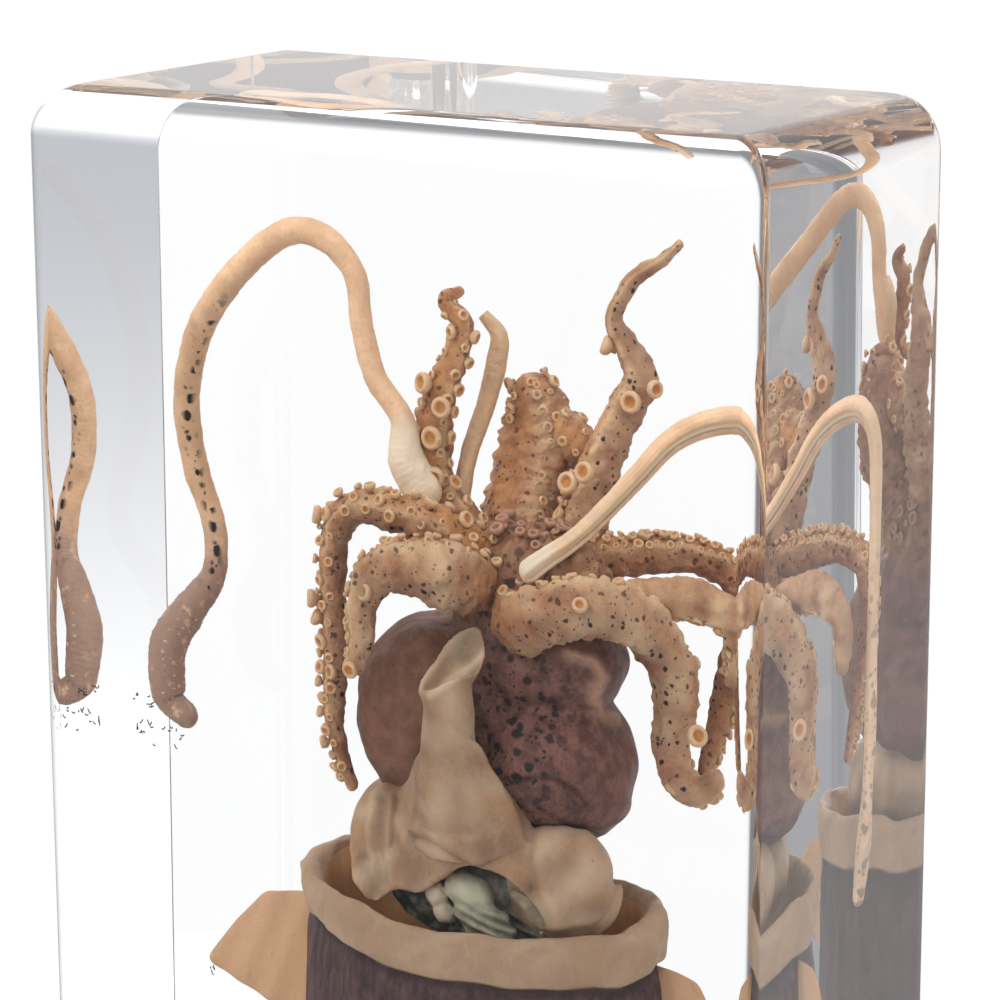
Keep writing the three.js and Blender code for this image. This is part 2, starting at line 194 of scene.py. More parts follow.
@dataclass
class MeshStock:
    """Points, faces and masks that are gathered before they become one object."""

    points: list[np.ndarray] = field(default_factory=list)
    faces: list[tuple[int, ...]] = field(default_factory=list)
    masks: dict[Mask, list[np.ndarray]] = field(default_factory=lambda: {mask: [] for mask in Mask})
    count: int = 0

    def add(self, points: np.ndarray, faces: list[tuple[int, ...]],
            masks: Masks | None = None) -> None:
        """Adds a patch whose faces count from its own first point.

        Args:
            points: One row a point, in millimetres.
            faces: The patch's faces.
            masks: Mask values, one a point or one for all.
        """
        start = self.count
        self.points.append(points)
        self.faces.extend([tuple(index + start for index in face) for face in faces])
        for mask in Mask:
            value = (masks or {}).get(mask, 0.0)
            self.masks[mask].append(np.broadcast_to(np.asarray(value, float), (len(points),)).copy())
        self.count += len(points)

    def add_tube(self, rings: np.ndarray, masks: Masks | None = None) -> None:
        """Adds a tube of rings, closed at both ends by a fan.

        Args:
            rings: Points as rows of rings: ring, place on the ring, coordinate.
            masks: Mask values, one for each point of the rings or one for all.
        """
        rows, columns = rings.shape[:2]
        points = np.concatenate([rings.reshape(-1, 3), [rings[0].mean(0)], [rings[-1].mean(0)]])
        faces = grid_faces(rows, columns)
        foot = rows * columns
        last = (rows - 1) * columns
        for column in range(columns):
            after = (column + 1) % columns
            faces.append((foot, after, column))
            faces.append((foot + 1, last + column, last + after))
        full = {}
        for mask, value in (masks or {}).items():
            flat = np.broadcast_to(np.asarray(value, float), (rows, columns)).reshape(-1)
            full[mask] = np.concatenate([flat, [flat[0], flat[-1]]])
        self.add(points, faces, full)

    def object(self, name: str) -> bpy.types.Object:
        """Makes the Blender object, in metres, smooth shaded and carrying its masks.

        Args:
            name: The piece's name.

        Returns:
            The new object.
        """
        mesh = bpy.data.meshes.new(name)
        points = np.concatenate(self.points) * MM
        mesh.from_pydata(points.tolist(), [], self.faces)
        for mask in Mask:
            layer = mesh.attributes.new(mask.value, "FLOAT", "POINT")
            layer.data.foreach_set("value", np.concatenate(self.masks[mask]).astype(np.float32))
        mesh.shade_smooth()
        mesh.update()
        piece = bpy.data.objects.new(name, mesh)
        bpy.context.scene.collection.objects.link(piece)
        return piece

    def melted(self, voxel: float, smoothing: int) -> "Melt":
        """Melts all patches into one skin, as soft tissue grows together.

        Args:
            voxel: The size of the skin's faces in millimetres.
            smoothing: How many rounds of smoothing it gets.

        Returns:
            The skin's points, normals and faces.
        """
        lump = self.object("melting")
        remesh = lump.modifiers.new("melt", "REMESH")
        remesh.mode = "VOXEL"
        remesh.voxel_size = voxel * MM
        smooth = lump.modifiers.new("soften", "SMOOTH")
        smooth.factor = 0.5
        smooth.iterations = smoothing
        view = bpy.context.evaluated_depsgraph_get()
        mesh = bpy.data.meshes.new_from_object(lump.evaluated_get(view))
        bpy.data.objects.remove(lump)
        count = len(mesh.vertices)
        points = np.empty(count * 3)
        normals = np.empty(count * 3)
        mesh.vertices.foreach_get("co", points)
        mesh.vertex_normals.foreach_get("vector", normals)
        faces = [tuple(polygon.vertices) for polygon in mesh.polygons]
        bpy.data.meshes.remove(mesh)
        return Melt(points.reshape(-1, 3) / MM, normals.reshape(-1, 3), faces)


@dataclass
class Melt:
    """A skin of grown-together lumps, still open to carving."""

    points: np.ndarray
    normals: np.ndarray
    faces: list[tuple[int, ...]]

    def push(self, amount: np.ndarray) -> None:
        """Moves each point along its normal by an amount in millimetres."""
        self.points = self.points + self.normals * amount[:, None]

    def groove(self, line: Sequence[Sequence[float]], depth: float, width: float) -> np.ndarray:
        """Presses a groove along a line, or raises a ridge where depth is negative.

        The line is laid on the skin as it is seen through the block's front face.

        Args:
            line: The groove's corners in millimetres.
            depth: How deep it is.
            width: Its half width.

        Returns:
            How strongly each point is touched, 0 to 1.
        """
        corners = np.array(line, float)
        corners = corners - (corners @ SIGHT)[:, None] * SIGHT
        seen = self.points - (self.points @ SIGHT)[:, None] * SIGHT
        facing = np.clip(-3.0 * (self.normals @ SIGHT), 0.0, 1.0)
        touch = bell(distance_to_line(seen, corners), 0.0, width) * facing
        self.push(-depth * touch)
        return touch


def ball(stock: MeshStock, centre: Sequence[float], radii: Sequence[float], tilt: float = 0.0) -> None:
    """Adds an egg-shaped lump to be melted with its neighbours.

    Args:
        stock: Where it goes.
        centre: Its middle in millimetres.
        radii: Its three half sizes.
        tilt: How far it leans about the Y axis, in radians.
    """
    rings, columns, pole = 24, 32, 0.04
    polar = np.linspace(pole, math.pi - pole, rings)
    around = ring_angles(columns)
    shape = np.stack([
        np.sin(polar)[:, None] * np.cos(around)[None, :],
        np.sin(polar)[:, None] * np.sin(around)[None, :],
        np.repeat(-np.cos(polar)[:, None], columns, axis=1),
    ], axis=-1) * np.array(radii)
    turn = np.array(Matrix.Rotation(tilt, 3, "Y"))
    stock.add_tube(shape @ turn.T + np.array(centre))


class Centreline:
    """A smooth line through a limb's stops, with a radius and a frame at every step."""

    FINENESS = 40
    FEWEST = 24

    def __init__(self, stops: Sequence[Stop], facing: Sequence[float], step: float = 0.14) -> None:
        """Samples the line evenly and carries the facing direction along it.

        Args:
            stops: x, y, z and radius at each stop, in millimetres.
            facing: The way that the limb's sucker side looks at the root.
            step: The distance between samples.
        """
        corners = np.array(stops, float)
        beyond = 2 * corners[[0, -1]] - corners[[1, -2]]
        curve = spline(np.vstack([beyond[:1], corners, beyond[1:]]), self.FINENESS)
        fine = np.vstack([curve, corners[-1:]])
        lengths = np.concatenate([[0.0], np.cumsum(np.linalg.norm(np.diff(fine[:, :3], axis=0), axis=1))])
        self.length = float(lengths[-1])
        self.count = max(self.FEWEST, int(self.length / step))
        along = np.linspace(0.0, self.length, self.count)
        sampled = np.stack([np.interp(along, lengths, fine[:, axis]) for axis in range(4)], axis=1)
        self.at = sampled[:, :3]
        self.radius = sampled[:, 3]
        self.share = along / self.length
        tangent = np.gradient(self.at, axis=0)
        self.tangent = tangent / np.linalg.norm(tangent, axis=1)[:, None]
        self.face = self._carry(np.array(facing, float))
        self.side = np.cross(self.tangent, self.face)

    def _carry(self, facing: np.ndarray) -> np.ndarray:
        """Carries a direction along the line without twisting it.

        Args:
            facing: The direction at the line's start.

        Returns:
            The unit direction at every sample.
        """
        faces = np.empty_like(self.tangent)
        current = facing
        for index, tangent in enumerate(self.tangent):
            current = current - tangent * (current @ tangent)
            current = current / np.linalg.norm(current)
            faces[index] = current
        return faces

    def way(self, index: int, angle: float) -> np.ndarray:
        """The direction out of the line at an angle from its facing side."""
        return self.face[index] * math.cos(angle) + self.side[index] * math.sin(angle)

    def ways(self, angle: np.ndarray, breadth: float | np.ndarray = 1.0,
             depth: float | np.ndarray = 1.0) -> np.ndarray:
        """The directions out of the line at every sample, for a ring of angles.

        Args:
            angle: The angles from the facing side.
            breadth: How far the ring is stretched sideways.
            depth: How far it is stretched towards its facing side.

        Returns:
            The directions: sample, place on the ring, coordinate.
        """
        return (self.face[:, None, :] * (np.cos(angle)[None, :, None] * depth)
                + self.side[:, None, :] * (np.sin(angle)[None, :, None] * breadth))

    def tube(self, angle: np.ndarray) -> np.ndarray:
        """Round rings along the line, each with the line's own radius."""
        return self.at[:, None, :] + self.ways(angle) * self.radius[:, None, None]


class Wire:
    """A shader output that can be used in expressions, each adding its Math node."""

    def __init__(self, loom: "Loom", socket: bpy.types.NodeSocket) -> None:
        """Wraps an output socket of the loom's tree."""
        self.loom = loom
        self.socket = socket

    def _maths(self, operation: str, *values: "Wire | float") -> "Wire":
        """Adds a Math node on the given values."""
        return self.loom.node("ShaderNodeMath", {"operation": operation}, dict(enumerate(values)))

    def __add__(self, other: "Wire | float") -> "Wire":
        """This value plus another."""
        return self._maths("ADD", self, other)

    def __radd__(self, other: float) -> "Wire":
        """A number plus this value."""
        return self._maths("ADD", other, self)

    def __sub__(self, other: "Wire | float") -> "Wire":
        """This value less another."""
        return self._maths("SUBTRACT", self, other)

    def __rsub__(self, other: float) -> "Wire":
        """A number less this value."""
        return self._maths("SUBTRACT", other, self)

    def __mul__(self, other: "Wire | float") -> "Wire":
        """This value times another."""
        return self._maths("MULTIPLY", self, other)

    def __rmul__(self, other: float) -> "Wire":
        """A number times this value."""
        return self._maths("MULTIPLY", other, self)

    def clamped(self) -> "Wire":
        """This value held between 0 and 1."""
        return self.loom.node("ShaderNodeClamp", {}, {"Value": self})

    def step(self, low: float, high: float) -> "Wire":
        """A smooth step, which may lie either way round.

        Args:
            low: Where it is 0.
            high: Where it is 1.

        Returns:
            The step's height.
        """
        settings = {"interpolation_type": "SMOOTHSTEP"}
        if low < high:
            return self.loom.node("ShaderNodeMapRange", settings,
                                  {"Value": self, "From Min": low, "From Max": high})
        return 1.0 - self.step(high, low)


class Loom:
    """A node tree with one method that adds any node."""

    def __init__(self, tree: bpy.types.NodeTree) -> None:
        """Empties the tree and starts on it."""
        self.tree = tree
        tree.nodes.clear()

    def node(self, kind: str, settings: dict[str, object] | None = None,
             values: dict[str | int, object] | None = None, output: str | int = 0) -> Wire:
        """Adds a node.

        Args:
            kind: The node's Blender type.
            settings: Its own properties, set first.
            values: What goes into its inputs, by name or number: numbers, colours or wires.
            output: The output that is handed back.

        Returns:
            That output as a wire.
        """
        made = self.tree.nodes.new(kind)
        for name, value in (settings or {}).items():
            setattr(made, name, value)
        for name, value in (values or {}).items():
            target = made.inputs[name]
            if isinstance(value, Wire):
                self.tree.links.new(value.socket, target)
            elif isinstance(value, tuple) and len(value) == 3 and target.type == "RGBA":
                target.default_value = (*value, 1.0)
            else:
                target.default_value = value
        return Wire(self, made.outputs[output]) if made.outputs else None

    def blend(self, share: Wire | float, first: Wire | Colour, second: Wire | Colour) -> Wire:
        """Mixes two colours.

        Args:
            share: 0 for the first colour, 1 for the second.
            first: One colour.
            second: The other.

        Returns:
            The mixed colour.
        """
        return self.node("ShaderNodeMix", {"data_type": "RGBA", "clamp_factor": True},
                         {0: share, 6: first, 7: second}, output=2)

    def mask(self, mask: Mask) -> Wire:
        """Reads one of the masks painted on the mesh."""
        return self.node("ShaderNodeAttribute", {"attribute_name": mask.value}, output="Fac")

    def place(self) -> Wire:
        """The point on the object, in metres."""
        return self.node("ShaderNodeTexCoord", output="Object")

    def noise(self, size: float, detail: float = 4.0, stretch: Colour | None = None,
              rough: float = 0.55) -> Wire:
        """Smooth noise.

        Args:
            size: The size of its patches in millimetres.
            detail: How many finer layers it has.
            stretch: How the point is scaled first along each axis.
            rough: How strong the finer layers are.

        Returns:
            The noise, around 0.5.
        """
        place = self.place()
        if stretch:
            place = self.node("ShaderNodeVectorMath", {"operation": "MULTIPLY"}, {0: place, 1: stretch})
        return self.node("ShaderNodeTexNoise", {}, {"Vector": place, "Scale": 1.0 / (size * MM),
                                                    "Detail": detail, "Roughness": rough})

    def towards(self, way: Wire, direction: Point) -> Wire:
        """How closely a ray runs towards a direction.

        Args:
            way: The ray's own direction.
            direction: The direction, of any length.

        Returns:
            1 straight towards it, 0 across it.
        """
        length = math.hypot(*direction)
        unit = tuple(part / length for part in direction)
        return self.node("ShaderNodeVectorMath", {"operation": "DOT_PRODUCT"}, {0: way, 1: unit},
                         output="Value")


class Finish:
    """A finish: one material, whose surface each kind of finish makes in its own way."""

    name: str

    def surface(self, loom: Loom) -> Wire:
        """Makes the surface shader."""
        raise NotImplementedError

    def material(self) -> bpy.types.Material:
        """Makes the material with its nodes.

        Returns:
            The new material.
        """
        material = bpy.data.materials.new(self.name)
        material.use_nodes = True
        loom = Loom(material.node_tree)
        loom.node("ShaderNodeOutputMaterial", {}, {"Surface": self.surface(loom)})
        return material


@dataclass(frozen=True)
class TissueFinish(Finish):
    """Preserved flesh or skin: two mottled tones, painted regions of tone, painted shade and painted
    highlights, dark spots, fine wrinkles.
    """

    name: str
    flesh: Colour
    flesh_deep: Colour
    pale: Colour
    warm: Colour
    # Dusk is the dusky skin tone and also the colour of painted shade.
    dusk: Colour
    spot: Colour
    mottle: float = 2.2
    spot_pitch: float = 0.75
    spot_size: float = 0.30
    spot_share: float = 0.6
    wrinkle: float = 0.55
    wrinkle_depth: float = 0.05
    stretch: Colour | None = None
    roughness: float = 0.5
    glow: float = 0.2

    GRAIN = 0.32
    GLOW_REACH = 0.8
    GLOW_SPREAD = (1.0, 0.45, 0.22)
    WARP_SCALE = 1500.0
    WARP = (0.0005, 0.0005, 0.0005)
    SPOT_KINDS = ((1.0, 1.0), (0.6, 0.7))

    def surface(self, loom: Loom) -> Wire:
        """Makes the flesh's shader.

        Args:
            loom: The material's tree.

        Returns:
            The shader.
        """
        colour = loom.blend(loom.noise(self.mottle, stretch=self.stretch).step(0.36, 0.66),
                            self.flesh, self.flesh_deep)
        freckle = 0.45 * loom.noise(self.GRAIN, detail=3.0).step(0.42, 0.66)
        colour = loom.blend(freckle, colour, self.flesh_deep)
        # Mixes in the dusk colour: the skin's dusky tone, and painted shade where the mask marks creases,
        # hollows and the arms' roots.
        colour = loom.blend(loom.mask(Mask.DUSK) * loom.noise(1.1).step(0.2, 0.6), colour, self.dusk)
        colour = loom.blend(loom.mask(Mask.WARM), colour, self.warm)
        # Pale tone, and on the funnel and the gills painted highlights too.
        colour = loom.blend(loom.mask(Mask.PALE) * (0.75 + 0.25 * loom.noise(0.8)), colour, self.pale)
        # Dark spots and black marks, and painted shade in the groove under the mantle's rim.
        colour = loom.blend((self._spots(loom) + loom.mask(Mask.SOOT)).clamped(), colour, self.spot)
        fine = loom.noise(self.wrinkle, detail=5.0, stretch=self.stretch, rough=0.6)
        grain = loom.noise(self.wrinkle * 0.28, detail=3.0)
        height = fine + 0.3 * grain
        bump = loom.node("ShaderNodeBump", {}, {
            "Strength": 0.9, "Distance": self.wrinkle_depth * MM, "Height": height})
        return loom.node("ShaderNodeBsdfPrincipled", {}, {
            "Base Color": colour,
            "Roughness": self.roughness + 0.2 * (fine - 0.5),
            "Specular IOR Level": 0.25,
            "Subsurface Weight": self.glow,
            "Subsurface Radius": self.GLOW_SPREAD,
            "Subsurface Scale": self.GLOW_REACH * MM,
            "Normal": bump,
        })

    def _spots(self, loom: Loom) -> Wire:
        """The dark pigment spots, of two sizes, each blurred out of round by a noise.

        Args:
            loom: The material's tree.

        Returns:
            The share of spot at each point.
        """
        jitter = loom.node("ShaderNodeTexNoise", {}, {
            "Vector": loom.place(), "Scale": self.WARP_SCALE, "Detail": 3.0}, output="Color")
        warp = loom.node("ShaderNodeVectorMath", {"operation": "MULTIPLY_ADD"}, {
            0: jitter, 1: self.WARP, 2: loom.place()})
        total = None
        for apart, large in self.SPOT_KINDS:
            size = self.spot_size * large
            values = {"Vector": warp, "Scale": 1.0 / (self.spot_pitch * apart * MM)}
            near = loom.node("ShaderNodeTexVoronoi", {}, values, output="Distance")
            cell = loom.node("ShaderNodeTexVoronoi", {}, values, output="Color")
            pick = loom.node("ShaderNodeSeparateColor", {}, {0: cell})
            smaller = loom.node("ShaderNodeSeparateColor", {}, {0: cell}, output=1) * (0.6 * size)
            chosen = pick.step(1.0 - self.spot_share, 1.02 - self.spot_share)
            spot = (near + smaller).step(size, size * 0.6) * chosen
            total = spot if total is None else (total + spot).clamped()
        return total * loom.mask(Mask.SPOTS)


@dataclass(frozen=True)
class ResinFinish(Finish):
    """Polished clear casting resin: plain transmission, with no texture."""

    name: str = "clear_resin"
    tint: Colour = (0.992, 0.996, 1.0)

    def surface(self, loom: Loom) -> Wire:
        """Makes the resin's shader."""
        return loom.node("ShaderNodeBsdfPrincipled", {}, {
            "Base Color": self.tint, "Roughness": 0.0, "IOR": RESIN_IOR, "Transmission Weight": 1.0})


@dataclass(frozen=True)
class FloorFinish(Finish):
    """A plain pale matt floor, very slightly uneven in tone."""

    name: str = "pale_floor"
    colour: Colour = (0.9, 0.9, 0.9)
    uneven: Colour = (0.8865, 0.8865, 0.8865)
    patch: float = 40.0

    def surface(self, loom: Loom) -> Wire:
        """Makes the floor's shader."""
        colour = loom.blend(loom.noise(self.patch), self.colour, self.uneven)
        return loom.node("ShaderNodeBsdfPrincipled", {}, {"Base Color": colour, "Roughness": 0.8})


# The arms' dusk colour is their purple-brown back and also the painted shade at their roots.
ARM_FINISH = TissueFinish(
    "arm_flesh", flesh=(0.52, 0.235, 0.112), flesh_deep=(0.30, 0.115, 0.055), pale=(0.82, 0.57, 0.345),
    warm=(0.62, 0.27, 0.07), dusk=(0.16, 0.068, 0.06), spot=(0.03, 0.013, 0.015), mottle=1.2,
    spot_pitch=0.68, spot_size=0.44, spot_share=0.66, wrinkle=0.5, wrinkle_depth=0.2)
TENTACLE_FINISH = TissueFinish(
    "tentacle_flesh", flesh=(0.95, 0.62, 0.385), flesh_deep=(0.80, 0.50, 0.29), pale=(0.92, 0.79, 0.60),
    warm=(0.66, 0.42, 0.14), dusk=(0.45, 0.285, 0.21), spot=(0.02, 0.015, 0.02), spot_pitch=1.1,
    spot_size=0.60, spot_share=0.72, wrinkle=0.4, wrinkle_depth=0.07)
# Its near-black dusk colour paints shade in the head's grooves, and darkens it towards the bottom and the
# left.
HEAD_FINISH = TissueFinish(
    "head_skin", flesh=(0.255, 0.115, 0.086), flesh_deep=(0.12, 0.047, 0.036), pale=(0.55, 0.32, 0.21),
    warm=(0.30, 0.135, 0.05), dusk=(0.045, 0.018, 0.017), spot=(0.02, 0.01, 0.011), mottle=1.2,
    spot_pitch=0.8, spot_size=0.68, spot_share=0.8, wrinkle=0.7, wrinkle_depth=0.18)
# Its dusk colour is painted shade in the funnel's folds, inside its tube and behind the hem; its pale colour
# also serves for painted highlights.
FUNNEL_FINISH = TissueFinish(
    "pale_flesh", flesh=(0.42, 0.26, 0.155), flesh_deep=(0.29, 0.17, 0.10), pale=(0.70, 0.52, 0.355),
    warm=(0.52, 0.27, 0.11), dusk=(0.115, 0.10, 0.066), spot=(0.14, 0.08, 0.06), mottle=2.6,
    spot_pitch=1.4, spot_size=0.14, spot_share=0.3, wrinkle=1.3, wrinkle_depth=0.10, roughness=0.42)
# Its spot colour also paints the shade in the groove under the rim.
MANTLE_FINISH = TissueFinish(
    "mantle_skin", flesh=(0.100, 0.052, 0.048), flesh_deep=(0.048, 0.024, 0.026), pale=(0.55, 0.375, 0.24),
    warm=(0.70, 0.40, 0.20), dusk=(0.16, 0.094, 0.084), spot=(0.03, 0.016, 0.018), mottle=0.55,
    spot_pitch=1.5, spot_size=0.19, spot_share=0.5, wrinkle=0.5, wrinkle_depth=0.16,
    stretch=(1.0, 1.0, 0.4))
# Its near-black dusk colour is painted shade at the back of the gills and between their stripes.
GILL_FINISH = TissueFinish(
    "gill_tissue", flesh=(0.31, 0.30, 0.21), flesh_deep=(0.17, 0.17, 0.115), pale=(0.62, 0.57, 0.42),
    warm=(0.62, 0.43, 0.29), dusk=(0.02, 0.02, 0.014), spot=(0.05, 0.05, 0.05), mottle=1.0,
    spot_share=0.2, wrinkle=0.5, wrinkle_depth=0.09, roughness=0.4)


@dataclass
class Piece:
    """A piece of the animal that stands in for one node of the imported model."""

    node: str
    slot: str
    finish: TissueFinish

    def stock(self) -> MeshStock:
        """Builds the piece's mesh in millimetres."""
        raise NotImplementedError

    def build(self) -> bpy.types.Object:
        """Makes the piece, dresses it and sets it in place of its node.

        Returns:
            The finished object.
        """
        piece = self.stock().object(f"{self.node}_skin")
        piece.data.materials.append(self.finish.material())
        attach(piece, BODY)
        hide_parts(self.node)
        LOG.info("%s: %d faces", piece.name, len(piece.data.polygons))
        return piece


@dataclass
class SuckerRow:
    """Cup-shaped suckers on short stalks, set in ranks along a limb's facing side."""

    size: float = 0.42
    start: float = 0.05
    end: float = 0.97
    angles: tuple[float, ...] = (-0.75, -0.25, 0.25, 0.75)
    pitch: float = 1.25
    stalk: float = 0.35
    seed: int = 1
    segments: int = 12

    PROFILE = ((0.42, -0.9), (0.46, -0.4), (0.78, -0.2), (0.97, 0.08), (1.0, 0.36), (0.93, 0.6),
               (0.78, 0.72), (0.60, 0.68), (0.46, 0.46), (0.28, 0.34), (0.04, 0.3))
    HOLE = (0, 0, 0, 0, 0, 0, 0, 0.35, 0.9, 1, 1)
    WALL = (0.2, 0.5, 0.7, 0.8, 0.9, 1, 1, 0.85, 0.1, 0, 0)

    def add_cup(self, stock: MeshStock, foot: np.ndarray, axis: np.ndarray, size: float) -> None:
        """Adds one sucker.

        Args:
            stock: Where it goes.
            foot: The point on the skin where its stalk starts.
            axis: The way that its mouth looks.
            size: The cup's radius.
        """
        helper = np.array([0.0, 0.0, 1.0]) if abs(axis[2]) < 0.9 else np.array([1.0, 0.0, 0.0])
        across = np.cross(axis, helper)
        across /= np.linalg.norm(across)
        other = np.cross(axis, across)
        around = ring_angles(self.segments)
        wheel = across[None, :] * np.cos(around)[:, None] + other[None, :] * np.sin(around)[:, None]
        rings = np.stack([foot + axis * ((height + self.stalk) * size) + wheel * (radius * size)
                          for radius, height in self.PROFILE])
        stock.add_tube(rings, {Mask.WARM: np.array(self.HOLE, float)[:, None],
                               Mask.PALE: np.array(self.WALL)[:, None]})

    def add_to(self, stock: MeshStock, line: Centreline) -> None:
        """Adds the whole row, smaller towards the tip.

        Args:
            stock: Where it goes.
            line: The limb's centreline.
        """
        dice = np.random.default_rng(self.seed)
        along = self.start * line.length
        rank = 0
        while along < self.end * line.length:
            index = min(line.count - 1, int(along / line.length * (line.count - 1)))
            radius = line.radius[index]
            scale = min(1.0, 0.35 + radius / 1.6) * dice.uniform(0.8, 1.15)
            size = self.size * scale
            for angle in self.angles[rank % 2::2]:
                turned = angle + dice.uniform(-0.12, 0.12)
                way = line.way(index, turned)
                axis = way + line.tangent[index] * dice.uniform(-0.5, 0.5) + dice.normal(size=3) * 0.2
                axis /= np.linalg.norm(axis)
                grown = size * dice.uniform(0.6, 1.2)
                self.add_cup(stock, line.at[index] + way * radius * 0.92, axis, grown)
            along += size * self.pitch
            rank += 1


@dataclass
class Limb(Piece):
    """A tapering limb along a centreline, with its own section, wrinkles and masks."""

    stops: Sequence[Stop] = ()
    facing: Point = (0.0, 0.0, 1.0)
    sides: int = 44
    seed: int = 3
    wrinkle: float = 0.035
    wrinkle_pitch: float = 0.9
    ringed: float = 1.0

    def section(self, share: np.ndarray, angle: np.ndarray) -> np.ndarray:
        """How far the skin stands from the centreline, as a factor of the radius."""
        return np.ones(np.broadcast(share, angle).shape)

    def masks(self, share: np.ndarray, angle: np.ndarray, points: np.ndarray) -> Masks:
        """The painted masks at each point of the limb."""
        return {}

    def extras(self, stock: MeshStock, line: Centreline) -> None:
        """Adds what grows on the limb."""

    def add_body(self, stock: MeshStock, line: Centreline) -> None:
        """Adds the limb's own skin with rounded ends.

        Args:
            stock: Where it goes.
            line: The limb's centreline.
        """
        around = ring_angles(self.sides)
        angle = around[None, :]
        share = line.share[:, None]
        base = line.at[:, None, :]
        way = line.ways(around)
        from_end = np.minimum(line.share, 1 - line.share) * line.length
        ends = np.sqrt(1 - (1 - np.clip(from_end / np.maximum(line.radius, 0.05), 0.0, 1.0)) ** 2 + 1e-4)
        radius = (line.radius * ends)[:, None] * self.section(share, angle)
        flat = (base + way * radius[..., None]).reshape(-1, 3)
        crease = np.sin(line.share * line.length * 2 * math.pi / self.wrinkle_pitch)[:, None]
        relief = (ripple(flat, 1.6, self.seed) * 1.2 + ripple(flat, 0.7, self.seed + 1) * 0.8
                  ).reshape(radius.shape) + self.ringed * crease * (0.6 + 0.4 * np.cos(angle * 2))
        radius = radius * (1 + self.wrinkle * relief)
        rings = base + way * radius[..., None]
        signed = (angle + math.pi) % (2 * math.pi) - math.pi
        stock.add_tube(rings, self.masks(share, signed, rings))

    def stock(self) -> MeshStock:
        """Builds the limb and what grows on it.

        Returns:
            The limb's mesh.
        """
        stock = MeshStock()
        line = Centreline(self.stops, self.facing)
        self.add_body(stock, line)
        self.extras(stock, line)
        return stock


@dataclass
class Arm(Limb):
    """An arm: flattened on its sucker side, with a wavy web along both edges and a keel behind."""

    slot: str = "arm_skin"
    finish: TissueFinish = ARM_FINISH
    wrinkle: float = 0.055
    ringed: float = 0.15
    cups: Sequence[tuple[Point, Point, float]] = ()
    suckers: SuckerRow = field(default_factory=SuckerRow)
    web: float = 0.2
    dusk: float = 0.5
    dusk_from: float = 2.0
    spots: float = 1.0
    pale: float = 0.12

    EDGE = 1.05

    def section(self, share: np.ndarray, angle: np.ndarray) -> np.ndarray:
        """A rounded triangle with two rippled web edges.

        Args:
            share: The place along the limb, 0 at its root and 1 at its tip.
            angle: The angle from the facing side.

        Returns:
            How far the skin stands out, as a factor of the radius.
        """
        signed = (angle + math.pi) % (2 * math.pi) - math.pi
        scallop = 1 + 0.55 * np.sin(share * 90 + self.seed) * np.sign(signed)
        webs = self.web * bell(np.abs(signed), self.EDGE, 0.22) * scallop
        keel = 0.10 * bell(np.abs(signed), math.pi, 0.45)
        return 1 - 0.14 * bell(signed, 0.0, 0.8) + webs + keel

    def masks(self, share: np.ndarray, angle: np.ndarray, points: np.ndarray) -> Masks:
        """Purple behind, pale web edges, orange between the suckers, and painted shade darkening the root.

        Args:
            share: The place along the limb, 0 at its root and 1 at its tip.
            angle: The angle from the facing side, from -pi to pi.
            points: The skin's points.

        Returns:
            The masks at each point.
        """
        behind = ramp(np.abs(angle), self.dusk_from, self.dusk_from + 0.7) * np.ones_like(share)
        noise = ripple(points.reshape(-1, 3), 3.0, self.seed + 5).reshape(points.shape[:2])
        return {
            # Purple behind is the arm's own tone; the darkening towards the root is painted shade.
            Mask.DUSK: np.clip(self.dusk * (behind + 0.12 * noise) + 0.85 * ramp(share, 0.24, 0.06), 0, 1),
            Mask.PALE: np.clip((self.pale * (1 + 0.5 * noise) + 0.4 * bell(np.abs(angle), self.EDGE, 0.3))
                               * (0.3 + 0.7 * ramp(share, 0.08, 0.26)), 0, 1),
            Mask.WARM: np.clip(0.45 * bell(angle, 0.0, 0.9) * (1 + 0.4 * noise)
                               + 0.45 * ramp(share, 0.25, 0.05), 0, 1),
            Mask.SPOTS: self.spots * (0.75 + 0.25 * behind),
        }

    def extras(self, stock: MeshStock, line: Centreline) -> None:
        """Adds the row of suckers and the big ones that stand alone.

        Args:
            stock: Where it goes.
            line: The limb's centreline.
        """
        self.suckers.add_to(stock, line)
        lone = SuckerRow(stalk=0.2, segments=20)
        for foot, axis, size in self.cups:
            way = np.array(axis, float)
            lone.add_cup(stock, np.array(foot), way / np.linalg.norm(way), size)


@dataclass
class StripArm(Arm):
    """The arm with a thin bare strip of skin standing up beside it."""

    strip: Sequence[Stop] = ()

    def extras(self, stock: MeshStock, line: Centreline) -> None:
        """Adds the suckers and the strip.

        Args:
            stock: Where it goes.
            line: The limb's centreline.
        """
        super().extras(stock, line)
        strip = Centreline(self.strip, (0.0, -1.0, 0.0))
        angle = ring_angles(24)
        radius = strip.radius[:, None] * (1 + 0.12 * np.cos(angle * 2))
        skin = strip.at[:, None, :] + strip.ways(angle, breadth=1.25) * radius[..., None]
        bumps = ripple(skin.reshape(-1, 3), 1.2, 71).reshape(radius.shape)
        skin = skin + strip.face[:, None, :] * (bumps * 0.06)[..., None]
        stock.add_tube(skin, {Mask.WARM: 0.12, Mask.PALE: 1.0})


